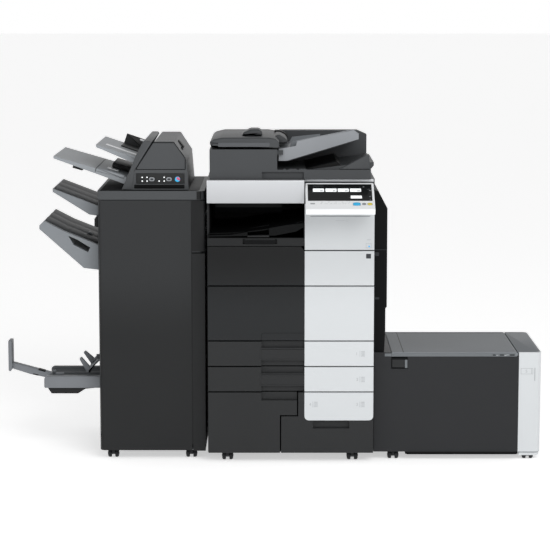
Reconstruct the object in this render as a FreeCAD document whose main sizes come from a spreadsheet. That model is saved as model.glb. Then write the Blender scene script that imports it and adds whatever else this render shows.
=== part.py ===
import FreeCAD, Part
import os
import re
import Sketcher

os.makedirs("parts", exist_ok=True)
doc = FreeCAD.newDocument("Photocopier")
sheet = doc.addObject("Spreadsheet::Sheet", "Sizes")

# ---------------------------------------------------------------------------
# Driving sizes, in millimetres and degrees.  X runs to the right along the
# fronts, Y runs to the back and Z runs up from the floor.  X = 0 is the left
# side of the print engine and Y = 0 is the face of its drawers until the last
# step, which puts the origin under the middle of the whole machine.
# ---------------------------------------------------------------------------
SIZES = [
    # print engine
    ("body_w", 622), ("body_d", 680), ("body_z", 36), ("skin", 4), ("plate_t", 4),
    ("tandem_h", 235), ("tray_h", 96.6), ("door_h", 207), ("toner_h", 133),
    ("strip_step", 17), ("strip_h", 29), ("deck_gap", 10), ("bay_h", 119),
    ("scanner_h", 87), ("seam", 4), ("front_t", 22), ("frame_y", 30),
    ("white_w", 260), ("white_t", 12), ("proud", 2), ("edge_r", 2), ("corner_r", 17),
    ("white_foot", 126.6), ("grip_x", 201), ("grip_w", 161), ("grip_deep", 14),
    ("grip_top", 30), ("grip_low", 25), ("split_x", 272.6), ("split_jog", 64),
    ("split_z", 144), ("pull_x", 394), ("pull_w", 136), ("pull_z", 96), ("pull_h", 28),
    ("pan_t", 2), ("pan_d", 580), ("rail_w", 8), ("rail_h", 4),
    ("slide_gap", 0.3), ("exit_rise", 45), ("bay_d", 560),
    # hinges of the engine and of the paper handling units
    ("pin_r", 2.5), ("pin_fit", 0.1), ("tab_t", 8), ("tab_gap", 0.5), ("tab_half", 4),
    ("axis_in", 10), ("axis_y", 7), ("pin_in", 8),
    # toner bottle, drum and fuser
    ("bottle_r", 28), ("drum_r", 42), ("heat_r", 26), ("shaft_r", 5), ("run_fit", 0.1),
    # scanner and document feeder
    ("trim_t", 14), ("wall_t", 8), ("glass_t", 4), ("glass_w", 450), ("glass_d", 320),
    ("carriage_w", 40), ("rod_r", 4), ("base_inset", 10), ("base_d", 580), ("base_h", 35),
    ("lift_gap", 1), ("feed_w", 250), ("feed_h", 75), ("feed_d", 480), ("cover_gap", 7),
    ("cover_h", 41), ("stack_run", 300), ("stack_t", 14),
    ("stack_d", 330), ("knuckle_r", 10), ("hinge_w", 40),
    # operation panel
    ("panel_w", 252), ("panel_l", 188), ("panel_t", 22), ("panel_tilt", 25.7),
    ("panel_x", 364), ("panel_y", 20), ("panel_z", 1053), ("screen_l", 118),
    ("screen_t", 2), ("key_h", 4), ("key_gap", 0.3),
    # finisher
    ("fin_w", 400), ("fin_gap", 10), ("fin_y", 55), ("fin_d", 620), ("fin_z", 34),
    ("fin_h", 953), ("fin_top", 33), ("fin_r", 20), ("edge_w", 47), ("edge_top", 790),
    # inserter on the finisher
    ("ins_y", 96), ("ins_d", 554), ("ins_h", 181), ("ins_w", 250), ("ins_top", 74),
    # side paper unit
    ("lct_w", 545), ("lct_d", 470), ("lct_y", 50), ("lct_z", 32), ("lct_h", 364),
    ("lid_t", 16), ("lid_x", 67), ("end_w", 84), ("lct_wall", 4),
    # casters and feet
    ("wheel_w", 18), ("wheel_gap", 12), ("foot_r", 20), ("foot_h", 10),
]
ALIASES = set()
for row, (alias, value) in enumerate(SIZES, start=1):
    sheet.set(f"A{row}", alias)
    sheet.set(f"B{row}", str(value))
    sheet.setAlias(f"B{row}", alias)
    ALIASES.add(alias)
doc.recompute()

NODES = {}


def bound(text):
    """An expression in sheet aliases, as an object outside the sheet reads it."""
    word = r"[A-Za-z_]\w*"
    return re.sub(word, lambda m: "Sizes." + m.group(0) if m.group(0) in ALIASES else m.group(0), str(text))


def num(text):
    """The value of an expression in sheet aliases."""
    return float(sheet.evalExpression(str(text)))


def total(*terms):
    """Expressions added up into one expression."""
    return "(" + " + ".join(str(term) for term in terms) + ")"


def less(first, *terms):
    """The first expression less the others."""
    return "(" + str(first) + "".join(f" - ({term})" for term in terms) + ")"


def block(name, x, y, z):
    """A box between pairs of expressions."""
    box = doc.addObject("Part::Box", name)
    for prop, axis, (low, high) in (("Length", "x", x), ("Width", "y", y), ("Height", "z", z)):
        box.setExpression(prop, bound(less(high, low)))
        box.setExpression("Placement.Base." + axis, bound(low))
    return box


TURNS = {
    "X": FreeCAD.Rotation(FreeCAD.Vector(0, 0, 1), FreeCAD.Vector(1, 0, 0)),
    "Y": FreeCAD.Rotation(FreeCAD.Vector(0, 0, 1), FreeCAD.Vector(0, 1, 0)),
    "Z": FreeCAD.Rotation(),
}


def rod(name, axis, centre, span, radius):
    """A cylinder along one axis, between a pair of expressions."""
    bar = doc.addObject("Part::Cylinder", name)
    bar.Placement = FreeCAD.Placement(FreeCAD.Vector(), TURNS[axis])
    bar.setExpression("Radius", bound(radius))
    bar.setExpression("Height", bound(less(span[1], span[0])))
    across = {"X": "yz", "Y": "xz", "Z": "xy"}[axis]
    for letter, place in zip(across + axis.lower(), (*centre, span[0])):
        bar.setExpression("Placement.Base." + letter, bound(place))
    return bar


def fuse(name, items):
    """Several solids as one."""
    if len(items) == 1:
        return items[0]
    joined = doc.addObject("Part::MultiFuse", name)
    joined.Shapes = items
    return joined


def cut(name, base, tools):
    """A solid less the tools."""
    result = doc.addObject("Part::Cut", name)
    result.Base = base
    result.Tool = fuse(name + "_tools", tools)
    return result


def rounded(name, base, radius, chosen):
    """Fillets on the straight edges of a solid that the test picks by their box."""
    doc.recompute()
    reach = num(radius)
    picked = []
    for number, edge in enumerate(base.Shape.Edges, start=1):
        if chosen(edge.BoundBox, edge):
            picked.append((number, reach, reach))
    if not picked:
        raise ValueError(f"no edge to round on {name}")
    result = doc.addObject("Part::Fillet", name)
    result.Base = base
    result.Edges = picked
    return result


def along(box, axis):
    """True for an edge's box that is long on one axis only."""
    lengths = {"X": box.XLength, "Y": box.YLength, "Z": box.ZLength}
    return lengths[axis] > 1 and all(lengths[other] < 0.01 for other in lengths if other != axis)


def near(value, text):
    """True when a coordinate is at the expression's value."""
    return abs(value - num(text)) < 0.01


def profile(name, plane, points, span):
    """A sketched outline of straight sides, padded along the third axis.

    Each point is a pair of expressions: (x, z) on the XZ plane, (y, z) on the
    YZ plane and (x, y) on the XY plane.  The pad fills the span of expressions.
    """
    body = doc.addObject("PartDesign::Body", name)
    outline = body.newObject("Sketcher::SketchObject", name + "_outline")
    origin = [f for f in body.Origin.OriginFeatures if f.Role == plane + "_Plane"][0]
    outline.AttachmentSupport = [(origin, "")]
    outline.MapMode = "FlatFace"
    sign = -1 if plane == "XZ" else 1
    outline.setExpression("AttachmentOffset.Base.z", bound(f"{sign} * ({span[0]})"))
    places = [FreeCAD.Vector(num(a), num(b), 0) for a, b in points]
    count = len(points)
    for here in range(count):
        outline.addGeometry(Part.LineSegment(places[here], places[(here + 1) % count]), False)
    for here in range(count):
        outline.addConstraint(Sketcher.Constraint("Coincident", here, 2, (here + 1) % count, 1))
    for here, (a, b) in enumerate(points):
        for kind, place, value in (("DistanceX", a, places[here].x), ("DistanceY", b, places[here].y)):
            index = outline.addConstraint(Sketcher.Constraint(kind, -1, 1, here, 1, value))
            outline.setExpression(f"Constraints[{index}]", bound(place))
    pad = body.newObject("PartDesign::Pad", name + "_pad")
    pad.Profile = outline
    pad.Reversed = plane == "XZ"
    pad.setExpression("Length", bound(less(span[1], span[0])))
    return body


def node(name, shape_object):
    """Gives a finished sub-part its label, which names its file."""
    shape_object.Label = name
    NODES[name] = shape_object
    return shape_object


# ---------------------------------------------------------------------------
# Levels of the print engine, from the floor up
# ---------------------------------------------------------------------------
Z_TRAY2 = total("body_z", "tandem_h")
Z_TRAY1 = total(Z_TRAY2, "tray_h")
Z_DOOR = total(Z_TRAY1, "tray_h")
Z_TONER = total(Z_DOOR, "door_h")
Z_UPPER = total(Z_TONER, "toner_h")
Z_STRIP = total(Z_UPPER, "strip_step")
Z_DECK = total(Z_STRIP, "strip_h")
Z_BAY = total(Z_DECK, "deck_gap")
Z_SCAN = total(Z_BAY, "bay_h")
Z_BASE = total(Z_SCAN, "scanner_h")
Z_FEED = total(Z_BASE, "lift_gap", "base_h")
X_WHITE = "(body_w - white_w)"
HALF = "seam / 2"
X_LEFT = "seam / 2"
X_RIGHT = "(body_w - seam / 2)"
X_AXIS = total("axis_in", HALF)


# ---------------------------------------------------------------------------
# Hinges: a round-nosed frame tab with a pin, in a notch of the door
# ---------------------------------------------------------------------------
def upright_tab(name, x_axis, y_axis, y_root, z_mid, x_root):
    """A frame tab whose pin is vertical, and the foot that joins it to the frame."""
    low = less(z_mid, "tab_t / 2")
    high = total(z_mid, "tab_t / 2")
    nose = rod(name + "_nose", "Z", (x_axis, y_axis), (low, high), "tab_half")
    arm_x = (less(x_axis, "tab_half"), total(x_axis, "tab_half"))
    arm = block(name + "_arm", arm_x, (y_axis, total(y_root, "tab_t")), (low, high))
    foot_x = sorted((x_root, arm_x[1], arm_x[0]), key=num)
    foot = block(name + "_foot", (foot_x[0], foot_x[2]), (y_root, total(y_root, "tab_t")), (low, high))
    pin = rod(name + "_pin", "Z", (x_axis, y_axis), (less(low, "pin_in"), total(high, "pin_in")), "pin_r")
    return [nose, arm, foot, pin]


def upright_notch(name, x_axis, y_axis, x_edge, y_back, z_mid):
    """The room for an upright tab and its pin in a door that ends at the edge."""
    low = less(z_mid, "tab_t / 2", "tab_gap")
    high = total(z_mid, "tab_t / 2", "tab_gap")
    room = block(name + "_room", (x_edge, total(x_axis, "tab_half", "tab_gap")),
                 (less(y_axis, "tab_half", "tab_gap"), y_back), (low, high))
    bore = rod(name + "_bore", "Z", (x_axis, y_axis), (less(low, "pin_in"), total(high, "pin_in")),
               "pin_r + pin_fit")
    return [room, bore]


def level_tab(name, x_mid, y_axis, y_root, z_axis, z_root):
    """A frame tab whose pin lies along X, and the foot that joins it to the shelf."""
    low = less(x_mid, "tab_t / 2")
    high = total(x_mid, "tab_t / 2")
    nose = rod(name + "_nose", "X", (y_axis, z_axis), (low, high), "tab_half")
    arm = block(name + "_arm", (low, high), (y_axis, total(y_root, "tab_t")),
                (less(z_axis, "tab_half"), total(z_axis, "tab_half")))
    foot = block(name + "_foot", (low, high), (y_root, total(y_root, "tab_t")),
                 (z_root, total(z_axis, "tab_half")))
    pin = rod(name + "_pin", "X", (y_axis, z_axis), (less(low, "pin_in"), total(high, "pin_in")), "pin_r")
    return [nose, arm, foot, pin]


def level_notch(name, x_mid, y_axis, y_back, z_axis, z_edge):
    """The room for a level tab and its pin in a door that ends at the edge."""
    low = less(x_mid, "tab_t / 2", "tab_gap")
    high = total(x_mid, "tab_t / 2", "tab_gap")
    room = block(name + "_room", (low, high), (less(y_axis, "tab_half", "tab_gap"), y_back),
                 (z_edge, total(z_axis, "tab_half", "tab_gap")))
    bore = rod(name + "_bore", "X", (y_axis, z_axis), (less(low, "pin_in"), total(high, "pin_in")),
               "pin_r + pin_fit")
    return [room, bore]


# ---------------------------------------------------------------------------
# Engine frame: welded sheet plates, drawer rails, shaft plates and hinge tabs
# ---------------------------------------------------------------------------
X_IN = "(skin + plate_t)"
X_OUT = "(body_w - skin - plate_t)"
Y_REAR = "(body_d - skin - plate_t)"
SHAFT_FRONT = ("frame_y + 30", "frame_y + 30 + plate_t")
SHAFT_REAR = ("bay_d", "bay_d + plate_t")
DRUM = ("body_w * 0.34", total(Z_DOOR, "door_h * 0.45"))
HEAT = ("body_w * 0.72", total(Z_DOOR, "door_h * 0.55"))
BOTTLE = ("body_w * 0.5", total(Z_TONER, "toner_h * 0.5"))
DOOR_TABS = (total(Z_DOOR, 40), less(Z_TONER, 40))
TONER_TABS = ("40", less(X_WHITE, 40))
Z_TONER_AXIS = total(Z_TONER, HALF, "axis_in")

frame = [
    block("floor_plate", ("0", "body_w"), ("frame_y", "body_d"), ("body_z", "body_z + 6")),
    block("left_plate", ("skin", X_IN), ("frame_y", Y_REAR), ("body_z", Z_SCAN)),
    block("right_plate", (X_OUT, "body_w - skin"), ("frame_y", Y_REAR), ("body_z", Z_SCAN)),
    block("rear_plate", ("skin", "body_w - skin"), (Y_REAR, "body_d - skin"), ("body_z", Z_SCAN)),
    block("shaft_plate_front", (X_IN, X_OUT), SHAFT_FRONT, (Z_DOOR, Z_STRIP)),
    block("shaft_plate_rear", (X_IN, X_OUT), SHAFT_REAR, (Z_DOOR, Z_STRIP)),
    block("deck_plate", (X_IN, X_OUT), ("frame_y", Y_REAR), (less(Z_DECK, 4), Z_DECK)),
    block("bay_side", (X_WHITE, total(X_WHITE, "plate_t")), ("frame_y", Y_REAR), (Z_DECK, Z_SCAN)),
    block("bay_back", (X_IN, X_WHITE), ("bay_d", "bay_d + plate_t"), (Z_DECK, Z_SCAN)),
    block("upper_web", (X_WHITE, X_OUT), ("frame_y", "frame_y + plate_t"), (less(Z_DECK, 4), Z_SCAN)),
]
for number, level in enumerate((Z_TRAY2, Z_TRAY1, Z_DOOR, Z_TONER), start=1):
    frame.append(block(f"shelf_{number}", (X_IN, X_OUT), ("frame_y", Y_REAR),
                       (less(level, 1), total(level, 1))))
for number, level in enumerate((total("body_z", 6), total(Z_TRAY2, 1), total(Z_TRAY1, 1)), start=1):
    rail_z = (level, total(level, "rail_h"))
    rail_y = ("frame_y", "frame_y + pan_d - 20")
    frame.append(block(f"rail_left_{number}", (X_IN, total(X_IN, "rail_w")), rail_y, rail_z))
    frame.append(block(f"rail_right_{number}", (less(X_OUT, "rail_w"), X_OUT), rail_y, rail_z))
low_rail_z = ("body_z + 6", "body_z + 6 + rail_h")
frame.append(block("rail_mid_left", ("split_x - 12", "split_x - 4"), rail_y, low_rail_z))
frame.append(block("rail_mid_right", ("split_x + split_jog + 6", "split_x + split_jog + 14"), rail_y,
                   low_rail_z))
for number, z_mid in enumerate(DOOR_TABS, start=1):
    frame += upright_tab(f"door_tab_{number}", X_AXIS, "axis_y", "frame_y", z_mid, "skin")
for number, x_mid in enumerate(TONER_TABS, start=1):
    frame += level_tab(f"toner_tab_{number}", x_mid, "axis_y", "frame_y", Z_TONER_AXIS, Z_TONER)
shaft_holes = []
for label, (x_mid, z_mid) in (("drum", DRUM), ("heat", HEAT), ("bottle", BOTTLE)):
    hole_y = (less(SHAFT_FRONT[0], 2), total(SHAFT_REAR[1], 2))
    shaft_holes.append(rod(label + "_hole", "Y", (x_mid, z_mid), hole_y, "shaft_r + run_fit"))
node("engine_frame", cut("frame_drilled", fuse("frame_welded", frame), shaft_holes))


def roller(name, centre, radius, y_ends):
    """A turning part between the shaft plates, with its shaft ends."""
    barrel = rod(name + "_barrel", "Y", centre, y_ends, radius)
    shaft = rod(name + "_shaft", "Y", centre, (less(SHAFT_FRONT[0], 4), total(SHAFT_REAR[1], 4)), "shaft_r")
    lug = block(name + "_lug", (less(centre[0], 3), total(centre[0], 3)),
                (less(SHAFT_FRONT[0], 14), less(SHAFT_FRONT[0], 4)),
                (less(centre[1], 3), total(centre[1], 9)))
    return node(name, fuse(name + "_solid", [barrel, shaft, lug]))


BARREL_Y = (total(SHAFT_FRONT[1], 6), less(SHAFT_REAR[0], 6))
roller("photo_drum", DRUM, "drum_r", BARREL_Y)
roller("heat_roller", HEAT, "heat_r", BARREL_Y)
roller("toner_bottle", BOTTLE, "bottle_r", BARREL_Y)

# Outer skins of the engine: plain folded covers on the frame plates
left_skin = block("left_skin", ("0", "skin"), ("frame_y", "body_d - skin"), ("body_z + 6", Z_SCAN))
right_skin = block("right_skin", ("body_w - skin", "body_w"), ("frame_y", "body_d - skin"),
                   ("body_z + 6", Z_SCAN))
rear_skin = block("rear_skin", ("0", "body_w"), ("body_d - skin", "body_d"), ("body_z + 6", Z_SCAN))
inlet_hole = block("inlet_hole", ("body_w - 110", "body_w - 60"), ("body_d - skin - 1", "body_d + 1"),
                   ("90", "120"))
slots = [block(f"vent_{i}", ("90", "300"), ("body_d - skin - 1", "body_d + 1"),
               (f"420 + {i} * 14", f"426 + {i} * 14")) for i in range(8)]
rear_skin = cut("rear_cut", rear_skin, [inlet_hole] + slots)
node("engine_covers", fuse("covers_group", [left_skin, right_skin, rear_skin]))
inlet = block("inlet_shell", ("body_w - 110", "body_w - 60"), ("body_d - 24", "body_d - skin"),
              ("90", "120"))
socket = block("inlet_room", ("body_w - 105", "body_w - 65"), ("body_d - 20", "body_d"), ("95", "115"))
blades = [block(f"blade_{i}", (f"body_w - 97 + {i} * 11", f"body_w - 95 + {i} * 11"),
                ("body_d - 24", "body_d - 8"), ("101", "109")) for i in range(3)]
node("power_inlet", fuse("inlet_solid", [cut("inlet_cut", inlet, [socket])] + blades))
plate_gap = block("inlet_gap", ("body_w - 110.3", "body_w - 59.7"), ("body_d - 25", "body_d"),
                  ("89.7", "120.3"))
node("engine_frame", cut("frame_inlet", NODES.pop("engine_frame"), [plate_gap]))


# ---------------------------------------------------------------------------
# Fronts: moulded panels with a white plate let into their right end
# ---------------------------------------------------------------------------
def front(name, outline, plate_z, cuts, foot_r=None):
    """A dark panel rounded round its face, with its white plate face to face in it."""
    z_low, z_high = plate_z
    white = block(name + "_white", (X_WHITE, X_RIGHT), ("-proud", "white_t - proud"), (z_low, z_high))
    if foot_r:
        white = rounded(name + "_white_foot", white, foot_r, lambda b, e: along(b, "Y") and near(b.ZMin,
                                                                                                 z_low))
    white = rounded(name + "_white_round", white, "edge_r", lambda b, e: near(b.YMax, "-proud"))
    slab = profile(name + "_slab", "XZ", outline, ("0", "front_t"))
    slab = rounded(name + "_round", slab, "edge_r", lambda b, e: near(b.YMax, "0"))
    node(name + "_plate", white)
    return cut(name + "_cut", slab, [white] + cuts)


def rect(x, z):
    """The four corners of a rectangle of expressions."""
    return [(x[0], z[0]), (x[1], z[0]), (x[1], z[1]), (x[0], z[1])]


def pan(name, x, z, y_low="front_t - 2"):
    """An open paper pan behind a drawer's front."""
    y_high = "front_t + pan_d"
    shell = block(name + "_pan", x, (y_low, y_high), z)
    room = block(name + "_pan_room", (total(x[0], "pan_t"), less(x[1], "pan_t")),
                 ("front_t", less(y_high, "pan_t")), (total(z[0], "pan_t"), total(z[1], 1)))
    return cut(name + "_pan_cut", shell, [room])


def grip(name, z):
    """The dark finger recess beside a drawer's white plate."""
    return block(name, ("grip_x", "grip_x + grip_w"), ("-1", "grip_deep"), z)


X_PAN = (total(X_IN, 2), less(X_OUT, 2))
for name, low in (("cassette_1", Z_TRAY1), ("cassette_2", Z_TRAY2)):
    z_low = total(low, HALF)
    z_high = less(total(low, "tray_h"), HALF)
    grips = [grip(name + "_grip_top", (less(z_high, "grip_top"), total(z_high, 1))),
             grip(name + "_grip_low", (less(z_low, 1), total(z_low, "grip_low")))]
    face = front(name, rect((X_LEFT, X_RIGHT), (z_low, z_high)), (z_low, z_high), grips)
    tray = pan(name, X_PAN, (total(low, 1, "rail_h", "slide_gap"), less(z_high, 12)))
    node(name, fuse(name + "_solid", [face, tray]))

# Tandem drawers: the seam between them steps to the right above the pull
z_low = total("body_z", HALF)
z_high = less(Z_TRAY2, HALF)
z_step = "(body_z + split_z)"
left_outline = [(X_LEFT, z_low), (f"split_x - {HALF}", z_low), (f"split_x - {HALF}", total(z_step, HALF)),
                (f"split_x + split_jog - {HALF}", total(z_step, HALF)),
                (f"split_x + split_jog - {HALF}", z_high), (X_LEFT, z_high)]
right_outline = [(f"split_x + {HALF}", z_low), (X_RIGHT, z_low), (X_RIGHT, z_high),
                 (f"split_x + split_jog + {HALF}", z_high),
                 (f"split_x + split_jog + {HALF}", less(z_step, HALF)),
                 (f"split_x + {HALF}", less(z_step, HALF))]
slab = profile("tandem_left_slab", "XZ", left_outline, ("0", "front_t"))
slab = rounded("tandem_left_round", slab, "edge_r", lambda b, e: near(b.YMax, "0"))
left_grip = block("tandem_left_grip", ("grip_x", "split_x + split_jog + 1"), ("-1", "grip_deep"),
                  (less(z_high, "grip_top"), total(z_high, 1)))
z_pan = (total("body_z", 6, "rail_h", "slide_gap"), less(z_high, 12))
node("tandem_left", fuse("tandem_left_solid", [cut("tandem_left_cut", slab, [left_grip]),
                                               pan("tandem_left", (X_PAN[0], "split_x - 6"), z_pan)]))
pull_top = "(body_z + pull_z + pull_h)"
pull = block("tandem_pull", ("pull_x", "pull_x + pull_w"), ("-1", "grip_deep"),
             ("body_z + pull_z", pull_top))
face = front("tandem_right", right_outline, ("body_z + white_foot", z_high), [pull], "corner_r")
node("tandem_right", fuse("tandem_right_solid", [face,
                                                 pan("tandem_right", ("split_x + split_jog + 8", X_PAN[1]),
                                                     z_pan)]))

# Front door on a vertical hinge at its left, toner door on a level hinge at its foot
notches = []
for number, z_mid in enumerate(DOOR_TABS, start=1):
    notches += upright_notch(f"door_notch_{number}", X_AXIS, "axis_y", less(X_LEFT, 1), "front_t + 1",
                             z_mid)
z_low = total(Z_DOOR, HALF)
z_high = less(Z_TONER, HALF)
node("front_door", front("front_door", rect((X_LEFT, X_RIGHT), (z_low, z_high)), (z_low, z_high), notches))
notches = []
z_low = total(Z_TONER, HALF)
z_high = less(Z_UPPER, HALF)
for number, x_mid in enumerate(TONER_TABS, start=1):
    notches += level_notch(f"toner_notch_{number}", x_mid, "axis_y", "front_t + 1", Z_TONER_AXIS,
                           less(z_low, 1))
toner_outline = [(X_LEFT, z_low), (X_RIGHT, z_low), (X_RIGHT, z_high), (X_WHITE, z_high),
                 (less(X_WHITE, 14), less(Z_STRIP, HALF)), (X_LEFT, less(Z_STRIP, HALF))]
node("toner_door", front("toner_door", toner_outline, (z_low, z_high), notches))

# Upper white plate, dark exit strip with its finger slot, and the exit tray
upper = block("upper_slab", (X_WHITE, X_RIGHT), ("-proud", "frame_y"), (total(Z_UPPER, HALF), Z_SCAN))
upper = rounded("upper_round", upper, "edge_r", lambda b, e: near(b.YMax, "-proud"))
relief = block("upper_relief", (total(X_WHITE, 6), less(X_RIGHT, 6)), ("white_t", "frame_y + 1"),
               (total(Z_UPPER, 8), less(Z_SCAN, 6)))
node("upper_front_plate", cut("upper_cut", upper, [relief]))
strip = block("strip_slab", (X_LEFT, less(X_WHITE, HALF)), ("0", "frame_y"), (Z_STRIP, Z_DECK))
strip_grip = block("strip_grip", ("132", "260"), ("-1", "grip_deep"), (total(Z_STRIP, 7), less(Z_DECK, 5)))
node("exit_front_cover", cut("strip_cut", strip, [strip_grip]))
x_bay = less(X_WHITE, HALF)
tray_outline = [(X_LEFT, Z_DECK), (x_bay, Z_DECK), (x_bay, total(Z_BAY, "exit_rise")),
                (less(x_bay, 60), total(Z_BAY, "exit_rise - 6")), ("90", total(Z_BAY, 2)), (X_LEFT, Z_BAY)]
deck = profile("exit_tray_slab", "XZ", tray_outline, ("4", "bay_d - 40"))
notch = block("exit_tray_notch", (less(X_LEFT, 1), total(X_IN, 0.3)), ("frame_y - 1", "bay_d"),
              (less(Z_DECK, 1), Z_SCAN))
channel = block("exit_tray_channel", ("150", "230"), ("3", "120"), (total(Z_BAY, -6), Z_SCAN))
node("exit_tray", cut("exit_tray_cut", deck, [notch, channel]))
exit_block = profile("exit_block_body", "YZ", [("120", less(Z_SCAN, 46)), ("bay_d", less(Z_SCAN, 46)),
                                               ("bay_d", Z_SCAN), ("80", Z_SCAN), ("80", less(Z_SCAN, 22))],
                     ("30", "278"))
node("exit_unit", exit_block)


# ---------------------------------------------------------------------------
# Scanner: a hollow housing with a glass let into its top and a lamp carriage
# ---------------------------------------------------------------------------
Z_ROD = total(Z_SCAN, 36)
ROD_Y = ("120", "330")
X_SIDE = less(X_WHITE, 2)
Y_PANEL_WALL = "50"
Y_LIFT = "base_d + 45"
Z_LIFT = total(Z_BASE, 18)
LIFT_X = ("140", "470")
PANEL_AXIS = ("panel_y + 10", "panel_z - 17")
PANEL_TABS = ("panel_x + 40", "panel_x + panel_w - 40")

shell = block("scanner_shell", ("0", "body_w"), ("10", "body_d - 10"), (Z_SCAN, Z_BASE))
room = block("scanner_room", ("wall_t", "body_w - wall_t"), ("50 + wall_t", "body_d - 10 - wall_t"),
             (total(Z_SCAN, 4), less(Z_BASE, "wall_t")))
step = block("scanner_step", (X_SIDE, "body_w + 1"), ("9", Y_PANEL_WALL),
             (less(Z_SCAN, 1), total(Z_BASE, 1)))
sight = block("scanner_sight", ("64", "56 + glass_w"), ("84", "76 + glass_d"),
              (less(Z_BASE, 10), total(Z_BASE, 1)))
seat = block("glass_seat", ("60", "60 + glass_w"), ("80", "80 + glass_d"),
             (less(Z_BASE, "glass_t"), total(Z_BASE, 1)))
pieces = [cut("scanner_hollow", shell, [room, step, sight, seat])]
for number, rod_y in enumerate(ROD_Y, start=1):
    pieces.append(rod(f"scan_rod_{number}", "X", (rod_y, Z_ROD), ("wall_t - 2", "body_w - wall_t + 2"),
                      "rod_r"))
for number, x_mid in enumerate(LIFT_X, start=1):
    for side in (-1, 1):
        ends = sorted((f"{x_mid} + {side} * (hinge_w / 2 + 0.5)", f"{x_mid} + {side} * (hinge_w / 2 + 9)"),
                      key=num)
        ear_y = (less(Y_LIFT, 14), total(Y_LIFT, 14))
        pieces.append(block(f"ear_{number}_{side + 1}", tuple(ends), ear_y,
                            (less(Z_BASE, 2), total(Z_LIFT, 12))))
    pin_x = (f"{x_mid} - hinge_w / 2 - 6", f"{x_mid} + hinge_w / 2 + 6")
    pieces.append(rod(f"lift_pin_{number}", "X", (Y_LIFT, Z_LIFT), pin_x, "rod_r"))
for number, x_mid in enumerate(PANEL_TABS, start=1):
    z_root = less(PANEL_AXIS[1], "tab_half")
    pieces += level_tab(f"panel_tab_{number}", x_mid, PANEL_AXIS[0], Y_PANEL_WALL, PANEL_AXIS[1], z_root)
node("scanner_housing", fuse("scanner_solid", pieces))
node("platen_glass", block("glass_pane", ("60", "60 + glass_w"), ("80", "80 + glass_d"),
                           (less(Z_BASE, "glass_t"), Z_BASE)))
trim = block("trim_slab", ("0", X_SIDE), ("10 - trim_t", "10"), (Z_SCAN, Z_BASE))
node("scanner_front_trim", rounded("trim_round", trim, "edge_r * 2.5", lambda b,
                                   e: near(b.YMax, "10 - trim_t") and along(b, "X")))
carriage = block("carriage_block", ("70", "70 + carriage_w"), ("100", "350"),
                 (total(Z_SCAN, 26), total(Z_SCAN, 50)))
lamp_slot = block("lamp_slot", ("82", "98"), ("110", "340"), (total(Z_SCAN, 42), total(Z_SCAN, 51)))
bores = [rod(f"carriage_bore_{i}", "X", (rod_y, Z_ROD), ("69", "71 + carriage_w"), "rod_r + run_fit")
         for i, rod_y in enumerate(ROD_Y)]
node("scan_carriage", cut("carriage_cut", carriage, [lamp_slot] + bores))


# ---------------------------------------------------------------------------
# Document feeder on rear hinges: base, body, cover, tray, guides and roller
# ---------------------------------------------------------------------------
X_BODY_R = "base_inset + feed_w"
Z_FEED_TOP = total(Z_FEED, "feed_h")
Z_COVER = total(Z_FEED_TOP, "cover_gap")
Z_TOP = total(Z_COVER, "cover_h")
COVER_AXIS = ("base_inset + 12", total(Z_COVER, 9))
COVER_TABS = ("70", "feed_d - 40")
TRAY_AXIS = (total(X_BODY_R, 14), less(Z_FEED_TOP, 13))
ROLL = ("base_inset + 190", less(Z_FEED_TOP, 24))

plate = block("base_plate", ("base_inset", "body_w - base_inset - 5"), ("20", "20 + base_d"),
              (total(Z_BASE, "lift_gap"), Z_FEED))
plate = rounded("base_round", plate, "edge_r * 2", lambda b, e: along(b, "Z"))
finger = block("base_finger", ("204", "359"), ("19", "34"), (Z_BASE, less(Z_FEED, 8)))
pieces = [cut("base_cut", plate, [finger])]
for number, x_mid in enumerate(LIFT_X, start=1):
    ends = (f"{x_mid} - hinge_w / 2", f"{x_mid} + hinge_w / 2")
    pieces.append(rod(f"knuckle_{number}", "X", (Y_LIFT, Z_LIFT), ends, "knuckle_r"))
    pieces.append(block(f"knuckle_arm_{number}", ends, ("18 + base_d", Y_LIFT),
                        (less(Z_LIFT, 7), total(Z_LIFT, 7))))
bores = [rod(f"lift_bore_{i}", "X", (Y_LIFT, Z_LIFT), (f"{x} - hinge_w", f"{x} + hinge_w"),
             "rod_r + run_fit")
         for i, x in enumerate(LIFT_X)]
node("feeder_base", cut("base_bored", fuse("base_solid", pieces), bores))

left = block("feed_left", ("base_inset", X_BODY_R), ("20", "20 + feed_d"), (Z_FEED, Z_FEED_TOP))
left = rounded("feed_round", left, "edge_r * 3",
               lambda b, e: along(b, "Z") and near(b.YMin, "20") and near(b.XMin, "base_inset"))
hollow = block("feed_hollow", ("base_inset + 50", "base_inset + feed_w - 18"), ("60", "feed_d - 20"),
               (total(Z_FEED, 10), total(Z_FEED_TOP, 1)))
mouth = block("feed_mouth", ("base_inset + feed_w - 40", total(X_BODY_R, 1)), ("90", "feed_d - 60"),
              (less(Z_FEED_TOP, 26), total(Z_FEED_TOP, 1)))
exit_slot = block("feed_exit", ("base_inset + feed_w - 40", total(X_BODY_R, 1)), ("90", "feed_d - 60"),
                  (total(Z_FEED, 12), total(Z_FEED, 26)))
shaft_bore = rod("feed_bore", "Y", ROLL, ("48", "feed_d - 8"), "shaft_r + run_fit")
left = cut("feed_left_cut", left, [hollow, mouth, exit_slot, shaft_bore])
x_end = "body_w - base_inset - 4"
rear_outline = [(less(X_BODY_R, 1), Z_FEED), (x_end, Z_FEED), (x_end, total(Z_FEED, 102)),
                (less(x_end, 36), total(Z_FEED, 118)), (total(X_BODY_R, 9), total(Z_FEED, 118)),
                (total(X_BODY_R, 9), Z_FEED_TOP), (less(X_BODY_R, 1), Z_FEED_TOP)]
rear = profile("feed_rear", "XZ", rear_outline, ("feed_d - 40", "feed_d + 20"))
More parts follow.
